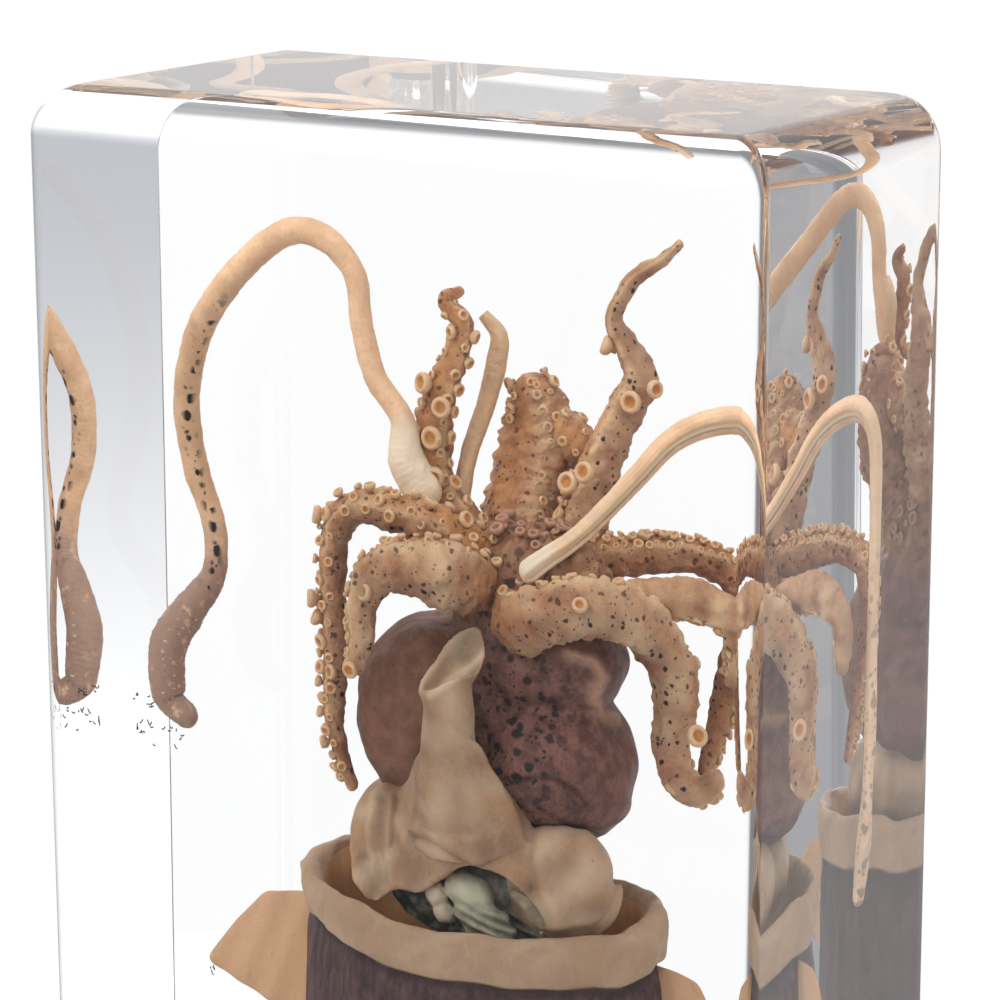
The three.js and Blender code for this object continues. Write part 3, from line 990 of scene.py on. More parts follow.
@dataclass
class KnobArm(Arm):
    """The stout middle arm, with a knob that stands out near its top and warts over its end."""

    knob: Sequence[Stop] = ()

    def extras(self, stock: MeshStock, line: Centreline) -> None:
        """Adds the suckers, the knob and the warts.

        Args:
            stock: Where it goes.
            line: The limb's centreline.
        """
        super().extras(stock, line)
        knob = Centreline(self.knob, (0.3, -1.0, 0.3))
        self.add_body(stock, knob)
        warts = SuckerRow(size=0.36, start=0.3, end=0.98, angles=(-2.6, -1.6, -0.6, 0.4, 1.4, 2.4),
                          pitch=1.7, stalk=0.1, seed=31, segments=9)
        warts.add_to(stock, knob)
        top = SuckerRow(size=0.44, start=0.8, end=1.0, angles=(-3.0, -2.0, -1.0, 0.0, 1.0, 2.0),
                        pitch=1.1, stalk=0.3, seed=32, segments=9)
        top.add_to(stock, line)


@dataclass
class LeftTentacle(Limb):
    """The left tentacle: a ringed stalk out of a pale sleeve, and a brown club."""

    slot: str = "tentacle_skin"
    finish: TissueFinish = TENTACLE_FINISH
    wrinkle: float = 0.022
    wrinkle_pitch: float = 0.42

    FLECKS = (((-27.4, 3.0, 71.6), (0.9, 0.8, 1.9), 19), ((-25.1, 3.0, 70.1), (1.4, 0.8, 0.8), 9),
              ((-21.5, 3.0, 52.3), (0.5, 0.6, 0.5), 5))

    def masks(self, share: np.ndarray, angle: np.ndarray, points: np.ndarray) -> Masks:
        """A pale sleeve, spots down the outer leg, a dusky club.

        Args:
            share: The place along the limb, 0 at its root and 1 at its tip.
            angle: The angle from the facing side, from -pi to pi.
            points: The skin's points, which are not used here.

        Returns:
            The masks at each point.
        """
        ones = np.ones_like(angle)
        leg = ramp(share, 0.42, 0.5) * ramp(share, 0.97, 0.8)
        return {
            Mask.PALE: ramp(share, 0.11, 0.07) * ones * 0.9,
            Mask.DUSK: ramp(share, 0.74, 0.86) * ones * 2.0,
            Mask.WARM: ramp(share, 0.05, 0.0) * ones * 0.3,
            Mask.SPOTS: leg * (0.10 + 1.1 * bell(angle, -1.05, 0.42)),
        }

    def extras(self, stock: MeshStock, line: Centreline) -> None:
        """Adds the small suckers of the club and the flecks beside it.

        Args:
            stock: Where it goes.
            line: The limb's centreline.
        """
        SuckerRow(size=0.13, start=0.86, end=0.98, angles=(-2.4, -1.9, -1.4, -0.9), pitch=2.0,
                  stalk=0.1, seed=9, segments=9).add_to(stock, line)
        self._add_flecks(stock)

    def _add_flecks(self, stock: MeshStock) -> None:
        """Adds the tiny dark flecks that came off the club and set in the resin beside it.

        Args:
            stock: Where they go.
        """
        dice = np.random.default_rng(77)
        for centre, spread, count in self.FLECKS:
            for _ in range(count):
                start = np.array(centre) + dice.uniform(-1, 1, 3) * np.array(spread)
                bend = dice.normal(size=3) * (0.10, 0.05, 0.10)
                stops = [(*(start + bend * place + np.array([0.0, 0.0, 0.08]) * place ** 2), 0.05)
                         for place in (-1.0, 0.0, 1.0)]
                line = Centreline(stops, (0.3, -1.0, 0.2), step=0.05)
                stock.add_tube(line.tube(ring_angles(6)), {Mask.SOOT: 1.0})


@dataclass
class RightTentacle(Limb):
    """The right tentacle: a flattened stalk with a torn white end, which arches over and hangs."""

    slot: str = "tentacle_skin"
    finish: TissueFinish = TENTACLE_FINISH
    wrinkle: float = 0.012

    def section(self, share: np.ndarray, angle: np.ndarray) -> np.ndarray:
        """A flattened section with lengthwise folds.

        Args:
            share: The place along the limb, 0 at its root and 1 at its tip.
            angle: The angle from the facing side.

        Returns:
            How far the skin stands out, as a factor of the radius.
        """
        folds = 0.07 * np.sin(5 * angle + 6 * share) + 0.05 * np.sin(9 * angle + 1.0)
        return 1 + 0.2 * np.cos(2 * angle + 1.2) + folds * ramp(share, 0.5, 0.3)

    def masks(self, share: np.ndarray, angle: np.ndarray, points: np.ndarray) -> Masks:
        """White at the torn end, gold and grey streaks and dark folds up to the bend.

        Args:
            share: The place along the limb, 0 at its root and 1 at its tip.
            angle: The angle from the facing side, from -pi to pi.
            points: The skin's points, which are not used here.

        Returns:
            The masks at each point.
        """
        ones = np.ones_like(angle)
        near = ramp(share, 0.42, 0.3)
        seeds = np.stack(np.broadcast_arrays(share * 4.0, angle * 1.6, 0.0), axis=-1)
        streak = ripple(seeds.reshape(-1, 3), 1.2, 61).reshape(seeds.shape[:-1])
        return {
            Mask.PALE: np.clip(ramp(share, 0.07, 0.03) * ones + 0.3 + 0.35 * streak * near, 0, 1),
            Mask.WARM: np.clip(near * (0.8 * bell(angle, 0.35, 0.3) + 0.45 * streak)
                               * ramp(share, 0.04, 0.09), 0, 1),
            Mask.DUSK: np.clip(1.6 * near * bell(angle, 0.85, 0.2) * ramp(share, 0.05, 0.12)
                               + ramp(share, 0.8, 0.9) * 0.5 * ones, 0, 1),
            Mask.SOOT: near * ramp(share, 0.05, 0.12) * (0.5 * bell(angle, 0.85, 0.1)
                                                        + 0.25 * bell(angle, -0.1, 0.07)),
            Mask.SPOTS: ramp(share, 0.5, 0.65) * 0.5 * ones,
        }


@dataclass
class Head(Piece):
    """The head: two bulging eye lobes, the nape, and the knobbly ring where the arms start."""

    node: str = "head"
    slot: str = "head_skin"
    finish: TissueFinish = HEAD_FINISH

    FOLD = ((12.3, -4.4, 83.4), (14.0, -3.4, 82.8), (14.5, -2.8, 81.8), (13.9, -3.0, 80.5),
            (14.2, -2.6, 79.0), (15.1, -1.8, 78.5))
    SWIRL = ((8.4, -7.0, 73.7), (10.4, -7.0, 74.4), (12.3, -6.6, 74.6), (13.6, -6.0, 74.0),
             (14.5, -5.4, 72.8))
    HEM = ((8.0, -7.0, 72.1), (9.2, -6.8, 70.8), (10.6, -6.4, 70.5), (13.4, -5.4, 70.8), (15.8, -4.0, 70.1))

    LUMPS = (((0.8, 0.2, 76.3), (7.4, 6.8, 7.7)), ((9.3, 0.8, 74.4), (6.4, 7.5, 6.3)),
             ((8.9, 0.4, 81.9), (6.2, 6.2, 4.7)), ((10.2, -0.8, 86.9), (4.8, 4.2, 3.6)),
             ((5.4, 1.6, 77.2), (7.4, 6.6, 9.0)), ((7.4, 0.4, 86.6), (6.8, 5.0, 4.8)))
    CROWN_AT = (7.6, 0.4, 86.6)
    CROWN_SIZE = (6.8, 5.0, 4.8)
    CROWN_CUPS = 130

    def stock(self) -> MeshStock:
        """Builds the head.

        Returns:
            The head's mesh.
        """
        lumps = MeshStock()
        for lump in self.LUMPS:
            ball(lumps, *lump)
        melt = lumps.melted(voxel=0.26, smoothing=9)
        melt.push(ripple(melt.points, 7.0, 11) * 0.16 + ripple(melt.points, 2.6, 12) * 0.09)
        fold = melt.groove(self.FOLD, -0.55, 0.5)
        crease = melt.groove(self.SWIRL, 0.35, 0.22) + melt.groove(self.HEM, 0.5, 0.4)
        for shift in (0.7, 1.5, 2.6):
            line = [(x - 0.3 * shift, y, z - shift) for x, y, z in self.SWIRL[1:]]
            crease = crease + 0.4 * melt.groove(line, 0.14, 0.2)
        x, y, z = melt.points.T
        front = ramp(y, 1.0, -3.0)
        crown = ramp(z + 0.3 * ripple(melt.points, 2.0, 13), 83.0, 85.6)
        knobs = ripple(melt.points, 1.3, 14)
        melt.push(crown * knobs * 0.22)
        near_funnel = bell(x, 8.4, 3.5) * bell(z, 77.0, 7.0) * front
        masks = {
            Mask.PALE: np.clip(0.95 * fold + 0.2 * crown * (1 + knobs), 0, 1),
            Mask.WARM: np.clip(0.85 * crown + 0.3 * ramp(x, 5.0, 1.0)
                               + 0.4 * bell(x, 16.3, 1.0) * bell(z, 74.5, 4.0), 0, 1),
            # Painted shade in the grooves; also darker towards the bottom and towards the left.
            Mask.DUSK: np.clip(crease + 0.5 * ramp(z, 71.5, 69.0) + 0.2 * ramp(x, 9.0, 4.0), 0, 1),
            Mask.SPOTS: np.clip(near_funnel * 1.6 + 0.1 + 0.5 * crown, 0, 1),
        }
        stock = MeshStock()
        stock.add(melt.points, melt.faces, masks)
        self._add_crown_cups(stock)
        return stock

    def _add_crown_cups(self, stock: MeshStock) -> None:
        """Adds the small suckers scattered over the ring where the arms start.

        Args:
            stock: Where they go.
        """
        cups = SuckerRow(stalk=0.4)
        dice = np.random.default_rng(5)
        for _ in range(self.CROWN_CUPS):
            turn = dice.uniform(0, 2 * math.pi)
            lift = dice.uniform(-0.15, 1.3)
            level = math.cos(lift)
            way = np.array([math.cos(turn) * level, math.sin(turn) * level, math.sin(lift)])
            foot = np.array(self.CROWN_AT) + way * np.array(self.CROWN_SIZE)
            cups.add_cup(stock, foot, way, dice.uniform(0.24, 0.6))


@dataclass
class Funnel(Piece):
    """The funnel, a soft tube with a slanted mouth, and the pale collar that it spreads into."""

    node: str = "funnel"
    slot: str = "pale_flesh"
    finish: TissueFinish = FUNNEL_FINISH

    TUBE = ((5.3, -9.1, 82.2, 1.85), (4.7, -9.2, 80.7, 1.85), (4.5, -9.1, 78.0, 2.05),
            (4.4, -8.8, 75.8, 2.35),
            (4.5, -8.0, 72.8, 3.0), (4.7, -6.8, 71.6, 4.1), (5.0, -5.6, 69.8, 5.2))
    SHOULDER = ((-3.1, -1.0, 70.2), (-1.7, -4.2, 71.4), (0.1, -6.2, 73.1), (1.8, -7.9, 75.1),
                (3.6, -9.4, 76.3), (5.5, -10.2, 76.9), (7.0, -10.0, 77.0), (7.8, -9.2, 75.4),
                (8.8, -8.2, 73.2), (9.8, -7.2, 70.8))
    HEM = ((-7.0, -2.0, 66.2), (-5.2, -5.4, 64.0), (-3.0, -6.8, 62.9), (-0.7, -7.6, 64.5),
           (1.5, -7.9, 64.7), (3.3, -8.2, 66.1), (5.9, -8.5, 67.6), (8.5, -8.4, 67.3), (10.4, -8.0, 65.9),
           (11.4, -7.4, 63.4))
    FLAP = ((-0.6, -9.0, 68.5), (1.2, -9.0, 68.9), (2.9, -9.0, 68.8), (4.6, -9.0, 68.1),
            (6.2, -9.0, 67.6), (8.7, -9.0, 67.2))
    FOLDS = (((-3.7, -6.0, 70.3), (-4.3, -6.0, 68.0), (-3.8, -6.0, 65.7), (-4.3, -6.0, 63.5)),
             ((-2.2, -6.0, 70.7), (-2.5, -6.0, 68.6), (-2.7, -6.0, 66.8), (-2.2, -6.0, 64.6)),
             ((-0.6, -7.0, 71.0), (-1.1, -7.0, 69.3), (-0.8, -7.0, 67.7)))
    EGG_LINE = ((10.6, -7.0, 70.2), (10.2, -7.0, 68.4), (10.7, -7.0, 66.3), (11.9, -7.0, 64.5))
    LIP = ((7.9, -9.6, 83.5), (7.0, -10.4, 82.4), (5.4, -10.6, 81.1), (3.5, -10.2, 79.8))

    LUMPS = (((3.6, 1.0, 66.4), (9.6, 5.5, 4.9)), ((12.7, -4.2, 67.0), (3.2, 3.2, 3.4)),
             ((10.9, -5.0, 68.0), (2.4, 2.7, 2.7)), ((12.2, -4.4, 68.0), (3.0, 2.9, 2.7)),
             ((13.4, -4.0, 67.9), (2.5, 2.7, 2.7)), ((11.6, -4.7, 65.6), (2.6, 2.8, 2.3)),
             ((11.0, -2.6, 66.4), (4.4, 4.2, 4.4)), ((14.9, -3.2, 65.2), (0.7, 0.7, 2.2), 0.28),
             ((15.5, -2.6, 65.4), (0.5, 0.6, 1.9), 0.32), ((-3.7, -1.6, 67.4), (2.7, 3.6, 4.2), 0.25),
             ((-1.6, -3.2, 68.6), (3.2, 3.0, 3.2), 0.2))
    SQUASH = 0.78
    MOUTH_TURN = 4.35
    MOUTH_RINGS = 20
    SAG = 0.9
    SKIRT_THICKNESS = 0.65

    def stock(self) -> MeshStock:
        """Builds the funnel and its collar.

        Returns:
            The funnel's mesh.
        """
        lumps = MeshStock()
        self._add_tube(lumps)
        self._add_skirt(lumps)
        for lump in self.LUMPS:
            ball(lumps, *lump)
        melt = lumps.melted(voxel=0.16, smoothing=9)
        melt.push(ripple(melt.points, 5.0, 21) * 0.12 + ripple(melt.points, 1.6, 22) * 0.03)
        crease = melt.groove(self.EGG_LINE, 0.18, 0.35)
        for line in self.FOLDS:
            crease = crease + melt.groove(line, 0.32, 0.35)
            melt.groove([(x + 0.8, y, z) for x, y, z in line], -0.22, 0.4)
        crease = crease + melt.groove(self.FLAP[1:], 0.42, 0.28)
        melt.groove([(x + 0.15, y, z + 0.7) for x, y, z in self.FLAP[1:]], -0.3, 0.45)
        lip = melt.groove(self.LIP, -0.12, 0.3)
        x, y, z = melt.points.T
        masks = {
            # The funnel's own pale tone in random patches, with painted highlights along the raised lip and
            # in a light stripe down the tube.
            Mask.PALE: np.clip(0.2 + 0.8 * lip + 0.3 * ripple(melt.points, 4.0, 23)
                               + 0.4 * ramp(x, 8.0, 13.0) * ramp(z, 72, 69)
                               + 0.35 * bell(x - 0.18 * (84 - z), 4.6, 1.0) * ramp(z, 72, 74), 0, 1),
            Mask.WARM: np.clip(0.6 * bell(z, 62.8, 1.4) * ramp(x, 9.0, 14.0) + 0.35 * ramp(x, -2, -6)
                               + 0.25 * np.maximum(ripple(melt.points, 3.0, 24), 0), 0, 1),
            # Painted shade: in the folds and creases, on the tube's inner wall, in a patch below the flap
            # and in the hollow behind the hem.
            Mask.DUSK: np.clip(0.3 * crease + 0.45 * self._inside(melt)
                               + 0.25 * bell(x, 1.0, 3.0) * bell(z, 67.5, 2.0)
                               + 0.8 * ramp(z, 66.0, 64.6) * ramp(y, -6.8, -6.0)
                               * ramp(x, 13.0, 11.0), 0, 1),
            Mask.SPOTS: 0.35,
        }
        stock = MeshStock()
        stock.add(melt.points, melt.faces, masks)
        return stock

    def _inside(self, melt: Melt) -> np.ndarray:
        """Finds the tube's inner wall, which gets painted shade.

        Args:
            melt: The funnel's skin.

        Returns:
            How much each point lies on it, 0 to 1.
        """
        y, z = melt.points[:, 1], melt.points[:, 2]
        facing = ramp(melt.normals @ SIGHT, -0.1, -0.4)
        return facing * ramp(y, -9.1, -8.7) * ramp(z, 79.6, 80.4)

    def _add_tube(self, stock: MeshStock) -> None:
        """Adds the funnel tube, hollow at its slanted mouth.

        Args:
            stock: Where it goes.
        """
        line = Centreline(self.TUBE, (0.0, -1.0, 0.0), step=0.3)
        angle = ring_angles(48)
        turn = self.MOUTH_TURN - angle
        slant = 1.9 * np.cos(turn) + 1.7 * np.sin(turn) - 0.9 * np.cos(2 * turn)
        lift = np.maximum(0.0, 1.0 - line.share * 3.0)[:, None]
        ring = np.arange(line.count)[:, None, None]
        walls = []
        for breadth, depth in ((1.0, self.SQUASH), (0.80 - 0.02 * ring, 0.58 - 0.015 * ring)):
            wall = line.at[:, None, :] + line.ways(angle, breadth, depth) * line.radius[:, None, None]
            walls.append(wall - line.tangent[:, None, :] * (slant * lift)[..., None])
        outer, inner = walls
        stock.add_tube(np.concatenate([outer[::-1], inner[:self.MOUTH_RINGS]]))

    def _add_skirt(self, stock: MeshStock) -> None:
        """Adds the thin skirt that falls from the funnel's base to its wavy hem.

        Args:
            stock: Where it goes.
        """
        down = np.linspace(0, 1, 28)[:, None, None]
        across = np.linspace(0, 1, 90)
        edges = []
        for corners in (self.SHOULDER, self.HEM):
            line = Centreline([(*corner, 1.0) for corner in corners], (0, -1, 0), step=0.25)
            edges.append(np.stack([np.interp(across, line.share, part) for part in line.at.T], axis=1))
        high, low = edges
        sheet = high * (1 - down) + low * down
        sheet = sheet + np.array([0.0, self.SAG, 0.0]) * np.sin(down * math.pi)
        outer = sheet.transpose(1, 0, 2)
        inner = outer + np.array([0.0, self.SKIRT_THICKNESS, 0.0])
        stock.add_tube(np.concatenate([outer, inner[:, ::-1]], axis=1)[::-1])


@dataclass
class Gills(Piece):
    """The grey-green gills in the gap under the collar."""

    node: str = "gills"
    slot: str = "gill"
    finish: TissueFinish = GILL_FINISH

    # The last lump is a flat backing behind the gills, painted near black as the shade deep in the cavity.
    LUMPS = (((5.3, -6.7, 65.3), (2.1, 1.1, 1.45), 0.2), ((6.6, -6.8, 63.4), (2.7, 1.0, 1.5), 0.35),
             ((2.5, -6.6, 64.6), (0.9, 0.8, 0.9)), ((3.2, -6.4, 63.3), (1.0, 0.8, 0.8)),
             ((1.9, -6.3, 65.4), (0.7, 0.6, 0.6)), ((5.0, -5.0, 64.4), (7.2, 0.8, 3.4)))
    ROD = ((9.2, -7.7, 66.2, 0.42), (10.7, -7.9, 65.3, 0.46), (11.6, -7.5, 64.0, 0.42))

    def stock(self) -> MeshStock:
        """Builds the gills: a smooth oval, a striped lobe, small lobes, a rod, and a flat lump behind them
        painted dark as shade.

        Returns:
            The gills' mesh.
        """
        lumps = MeshStock()
        for lump in self.LUMPS:
            ball(lumps, *lump)
        melt = lumps.melted(voxel=0.13, smoothing=3)
        x, y, z = melt.points.T
        stripes = np.sin((z + 0.25 * x) * 8.0) * ramp(z, 64.6, 64.0) * ramp(x, 3.8, 4.6)
        melt.push(stripes * 0.09 + ripple(melt.points, 1.2, 31) * 0.05)
        masks = {
            # Pale oval and pale small lobes, and paler on the stripes' crests as painted highlight.
            Mask.PALE: np.clip(bell(x, 5.3, 1.8) * bell(z, 65.4, 1.0) + 0.3 * np.maximum(stripes, 0)
                               + 0.5 * bell(x, 2.7, 1.1) * ramp(y, -6.0, -6.6), 0, 1),
            Mask.WARM: np.clip(0.9 * bell(x, 2.4, 1.2) * ramp(y, -5.8, -6.4), 0, 1),
            # Painted shade: near black towards the back of the cavity and in the grooves between the
            # stripes.
            Mask.DUSK: np.clip(1.6 * ramp(y, -6.4, -5.8) + 0.75 * np.maximum(-stripes, 0), 0, 1),
        }
        stock = MeshStock()
        stock.add(melt.points, melt.faces, masks)
        rod = Centreline(self.ROD, (0, -1, 0))
        rod.radius = rod.radius * np.sin(np.clip(rod.share, 0.02, 0.98) * math.pi) ** 0.12
        stock.add_tube(rod.tube(ring_angles(24)), {Mask.WARM: 0.25, Mask.DUSK: 0.8})
        return stock


@dataclass
class Mantle(Piece):
    """The mantle sac with its thick pale rim, and the fin along each side."""

    node: str = "mantle"
    slot: str = "mantle_skin"
    finish: TissueFinish = MANTLE_FINISH
    middle_x: float = 3.6
    radius: float = 15.0
    flatness: float = 0.6
    rim_z: float = 62.6
    end_z: float = 12.3
    rim_lift: float = 2.2
    rim_lean: float = 0.02
    around: int = 300

    FINENESS = 13
    FIN = ((-3.4, 60.9), (0.5, 60.7), (4.3, 60.0), (7.0, 57.2), (9.6, 53.7), (4.0, 51.7), (1.2, 50.4),
           (1.3, 46.0), (1.8, 39.0), (0.7, 30.0), (-2.5, 21.5), (-7.2, 15.2), (-12.0, 12.4))

    def _profile(self) -> np.ndarray:
        """The sac's outline.

        Returns:
            Rows of radius, height and a mask of how much it is rim.
        """
        r, top, low = self.radius, self.rim_z, self.end_z
        corners = np.array([
            (0.02 * r, low, 0), (0.3 * r, low + 1.2, 0), (0.56 * r, low + 5, 0), (0.78 * r, low + 12, 0),
            (0.93 * r, low + 22, 0), (0.995 * r, low + 33, 0), (r * 0.985, top - 7, 0),
            (r * 0.955, top - 4.3, 0), (r * 0.95, top - 3.7, 0.05), (r * 0.985, top - 3.3, 1),
            (r * 1.008, top - 2.2, 1), (r * 1.004, top - 0.7, 1), (r * 0.965, top, 1),
            (r * 0.925, top - 0.1, 1), (r * 0.89, top - 0.8, 1), (r * 0.87, top - 2.2, 0.8),
            (r * 0.865, top - 5, 0.4), (r * 0.85, top - 7, 0.3), (r * 0.02, top - 7.2, 0.3),
        ])
        padded = np.vstack([corners[0], corners, corners[-1]])
        return spline(padded, self.FINENESS)

    def stock(self) -> MeshStock:
        """Builds the sac and the fins.

        Returns:
            The mantle's mesh.
        """
        stock = MeshStock()
        self._add_sac(stock)
        self._add_fin(stock, -1, 1.0)
        self._add_fin(stock, 1, 0.5)
        return stock

    def _add_sac(self, stock: MeshStock) -> None:
        """Adds the hollow sac with its rim.

        Args:
            stock: Where it goes.
        """
        profile = self._profile()
        angle = ring_angles(self.around)[None, :]
        reach = np.maximum(profile[:, 0], 0.01)[:, None]
        x = reach * np.cos(angle)
        y = reach * np.sin(angle) * self.flatness
        z = profile[:, 1][:, None] + 0 * angle
        near_rim = ramp(z, self.rim_z - 12, self.rim_z)
        ruffle = 0.16 * np.sin(5 * angle + 0.6) + 0.12 * np.sin(9 * angle + 2.0) + 0.07 * np.sin(17 * angle)
        below = np.maximum(self.rim_z - z, 0.0)
        z = z + 0.38 * ramp(-np.cos(angle), 0.5, 1.0) * np.minimum(below, 4.3) * near_rim
        z = z + near_rim * (self.rim_lift + y * 0.165 - 0.115 * np.abs(y) + x * self.rim_lean + ruffle)
        rim = np.clip(profile[:, 2], 0, 1)[:, None] + 0 * angle
        points = np.stack([x + self.middle_x, y, z], axis=-1)
        flat = points.reshape(-1, 3)
        outward = np.stack([np.cos(angle) * self.flatness, np.sin(angle), 0 * angle], axis=-1)
        outward = outward / np.linalg.norm(outward, axis=-1, keepdims=True) * np.ones((len(profile), 1, 1))
        body = 1 - rim
        stretched = flat * np.array([1.0, 1.0, 0.3])
        skin = ripple(stretched, 1.4, 41) * 0.05 + ripple(stretched, 3.5, 42) * 0.10
        lip = ripple(flat, 2.6, 43) * 0.15 + ripple(flat, 0.9, 44) * 0.04
        relief = body * skin.reshape(x.shape) + rim * lip.reshape(x.shape)
        fade = ramp(reach, 0.5, 4.0)
        points = points + outward * (relief * fade)[..., None]
        streak = np.clip(ripple(stretched, 0.8, 45).reshape(x.shape) * 0.5, 0, 1)
        blush = ripple(flat, 4.5, 46).reshape(x.shape)
        inside = (np.arange(len(profile)) > len(profile) * 0.78)[:, None] + 0 * angle
        masks = {
            Mask.PALE: np.clip(rim * (0.9 + 0.25 * blush) - 0.7 * inside, 0, 1),
            Mask.WARM: np.clip(0.85 * inside + rim * (0.15 - 0.2 * blush), 0, 1),
            Mask.DUSK: np.clip(0.8 * body * streak, 0, 1),
            # Painted shade: a dark line in the groove under the overhanging rim.
            Mask.SOOT: 0.6 * body * bell(below, 3.9, 0.35) * (1 - inside),
            Mask.SPOTS: 0.25 * body,
        }
        stock.add_tube(points, masks)

    def _add_fin(self, stock: MeshStock, side: int, spread: float) -> None:
        """Adds a thin wavy fin along one side.

        Args:
            stock: Where it goes.
            side: -1 for the left fin, 1 for the right one.
            spread: How far it stands out, 1 for the full width.
        """
        stops = np.array([(15.2 + (beyond * spread if beyond > 0 else beyond), z) for beyond, z in self.FIN])
        fine = []
        for first, second in zip(stops[:-1], stops[1:]):
            fine.append(first + (second - first) * np.linspace(0, 1, 18, endpoint=False)[:, None])
        edge = np.vstack(fine)
        kernel = np.hanning(13) / np.hanning(13).sum()
        padded = np.pad(edge, ((6, 6), (0, 0)), mode="edge")
        edge = np.stack([np.convolve(part, kernel, "valid") for part in padded.T], axis=1)
        depth = 26
        across = np.linspace(0, 1, depth)[None, :]
        root_x = np.minimum(edge[:, 0:1] - 1.0, 10.0)
        x = root_x + (edge[:, 0:1] - root_x) * across
        z = edge[:, 1:2] + (1 - across) * -2.0 * ramp(edge[:, 1:2], 55.0, 60.0)
        wave = 0.45 * np.sin(z * 0.55 + 1.0) * across ** 2 + 0.12 * np.sin(x * 2.1 + z * 0.9) * across
        half = 0.52 * (1 - across ** 3) + 0.06
        top = np.stack([side * x + self.middle_x, 1.2 + wave - half, z + 0 * x], axis=-1)
        under = np.stack([side * x + self.middle_x, 1.2 + wave + half, z + 0 * x], axis=-1)
        loop = np.concatenate([top, under[:, ::-1]], axis=1)
        if side > 0:
            loop = loop[:, ::-1]
        share = np.concatenate([across, across[:, ::-1]], axis=1)
        if side > 0:
            share = share[:, ::-1]
        stock.add_tube(loop, {Mask.WARM: 0.95, Mask.PALE: 0.15 + 0.45 * share * np.ones((len(edge), 1)),
                              Mask.SPOTS: 1.0 * (1 - share) ** 1.2 * np.ones((len(edge), 1))})


TENTACLE_LEFT: tuple[Stop, ...] = (
    (0.2, -1, 91.5, 1.5), (-1.8, -1.2, 94.5, 1.5), (-2.4, -1, 97.6, 0.95), (-4.6, -1, 100.4, 0.9),
    (-5.7, -1, 104, 0.88), (-6.3, -1, 107.6, 0.9), (-8.8, -1, 109.8, 0.95), (-12.4, -0.4, 109.8, 1.0),
    (-17.4, 1.2, 106.4, 1.05), (-22.4, 4.8, 101.4, 1.1), (-24.9, 7.4, 95.7, 1.12), (-24.7, 8.6, 90.4, 1.08),
    (-23.2, 8.8, 86.2, 1.0), (-23.0, 8.0, 82.5, 1.05), (-24.6, 6.4, 79.7, 1.4), (-26.0, 5.0, 77.0, 1.6),
    (-25.9, 4.4, 73.8, 1.5), (-25.5, 4.4, 72.7, 1.2), (-23.3, 4.4, 71.3, 0.95))
TENTACLE_RIGHT: tuple[Stop, ...] = (
    (9.5, -6.4, 88.5, 0.85), (10.4, -5.2, 89.4, 0.75), (12.2, -2.4, 91.0, 0.66), (13.8, -0.2, 92.9, 0.68),
    (15.8, 1.6, 95.4, 0.72), (17.9, 3, 97.9, 0.78), (20.6, 4.4, 99.3, 0.86), (23.2, 5.6, 99.3, 0.9),
    (24.6, 6.4, 97, 0.85), (24.7, 6.6, 91, 0.75), (24.5, 6.6, 84, 0.7), (24.5, 6.6, 77, 0.8),
    (24.4, 6.4, 72.6, 0.7), (24.3, 6, 68, 1.0), (23.8, 5.6, 63.8, 0.7))
SKIN_STRIP: tuple[Stop, ...] = (
    (1.2, 2, 91.4, 0.6), (1.6, 3, 95, 0.6), (2.6, 4, 98.6, 0.65), (3.4, 4.2, 101.6, 0.7),
    (3.6, 4.2, 103.6, 0.6), (2.4, 4, 105, 0.4))


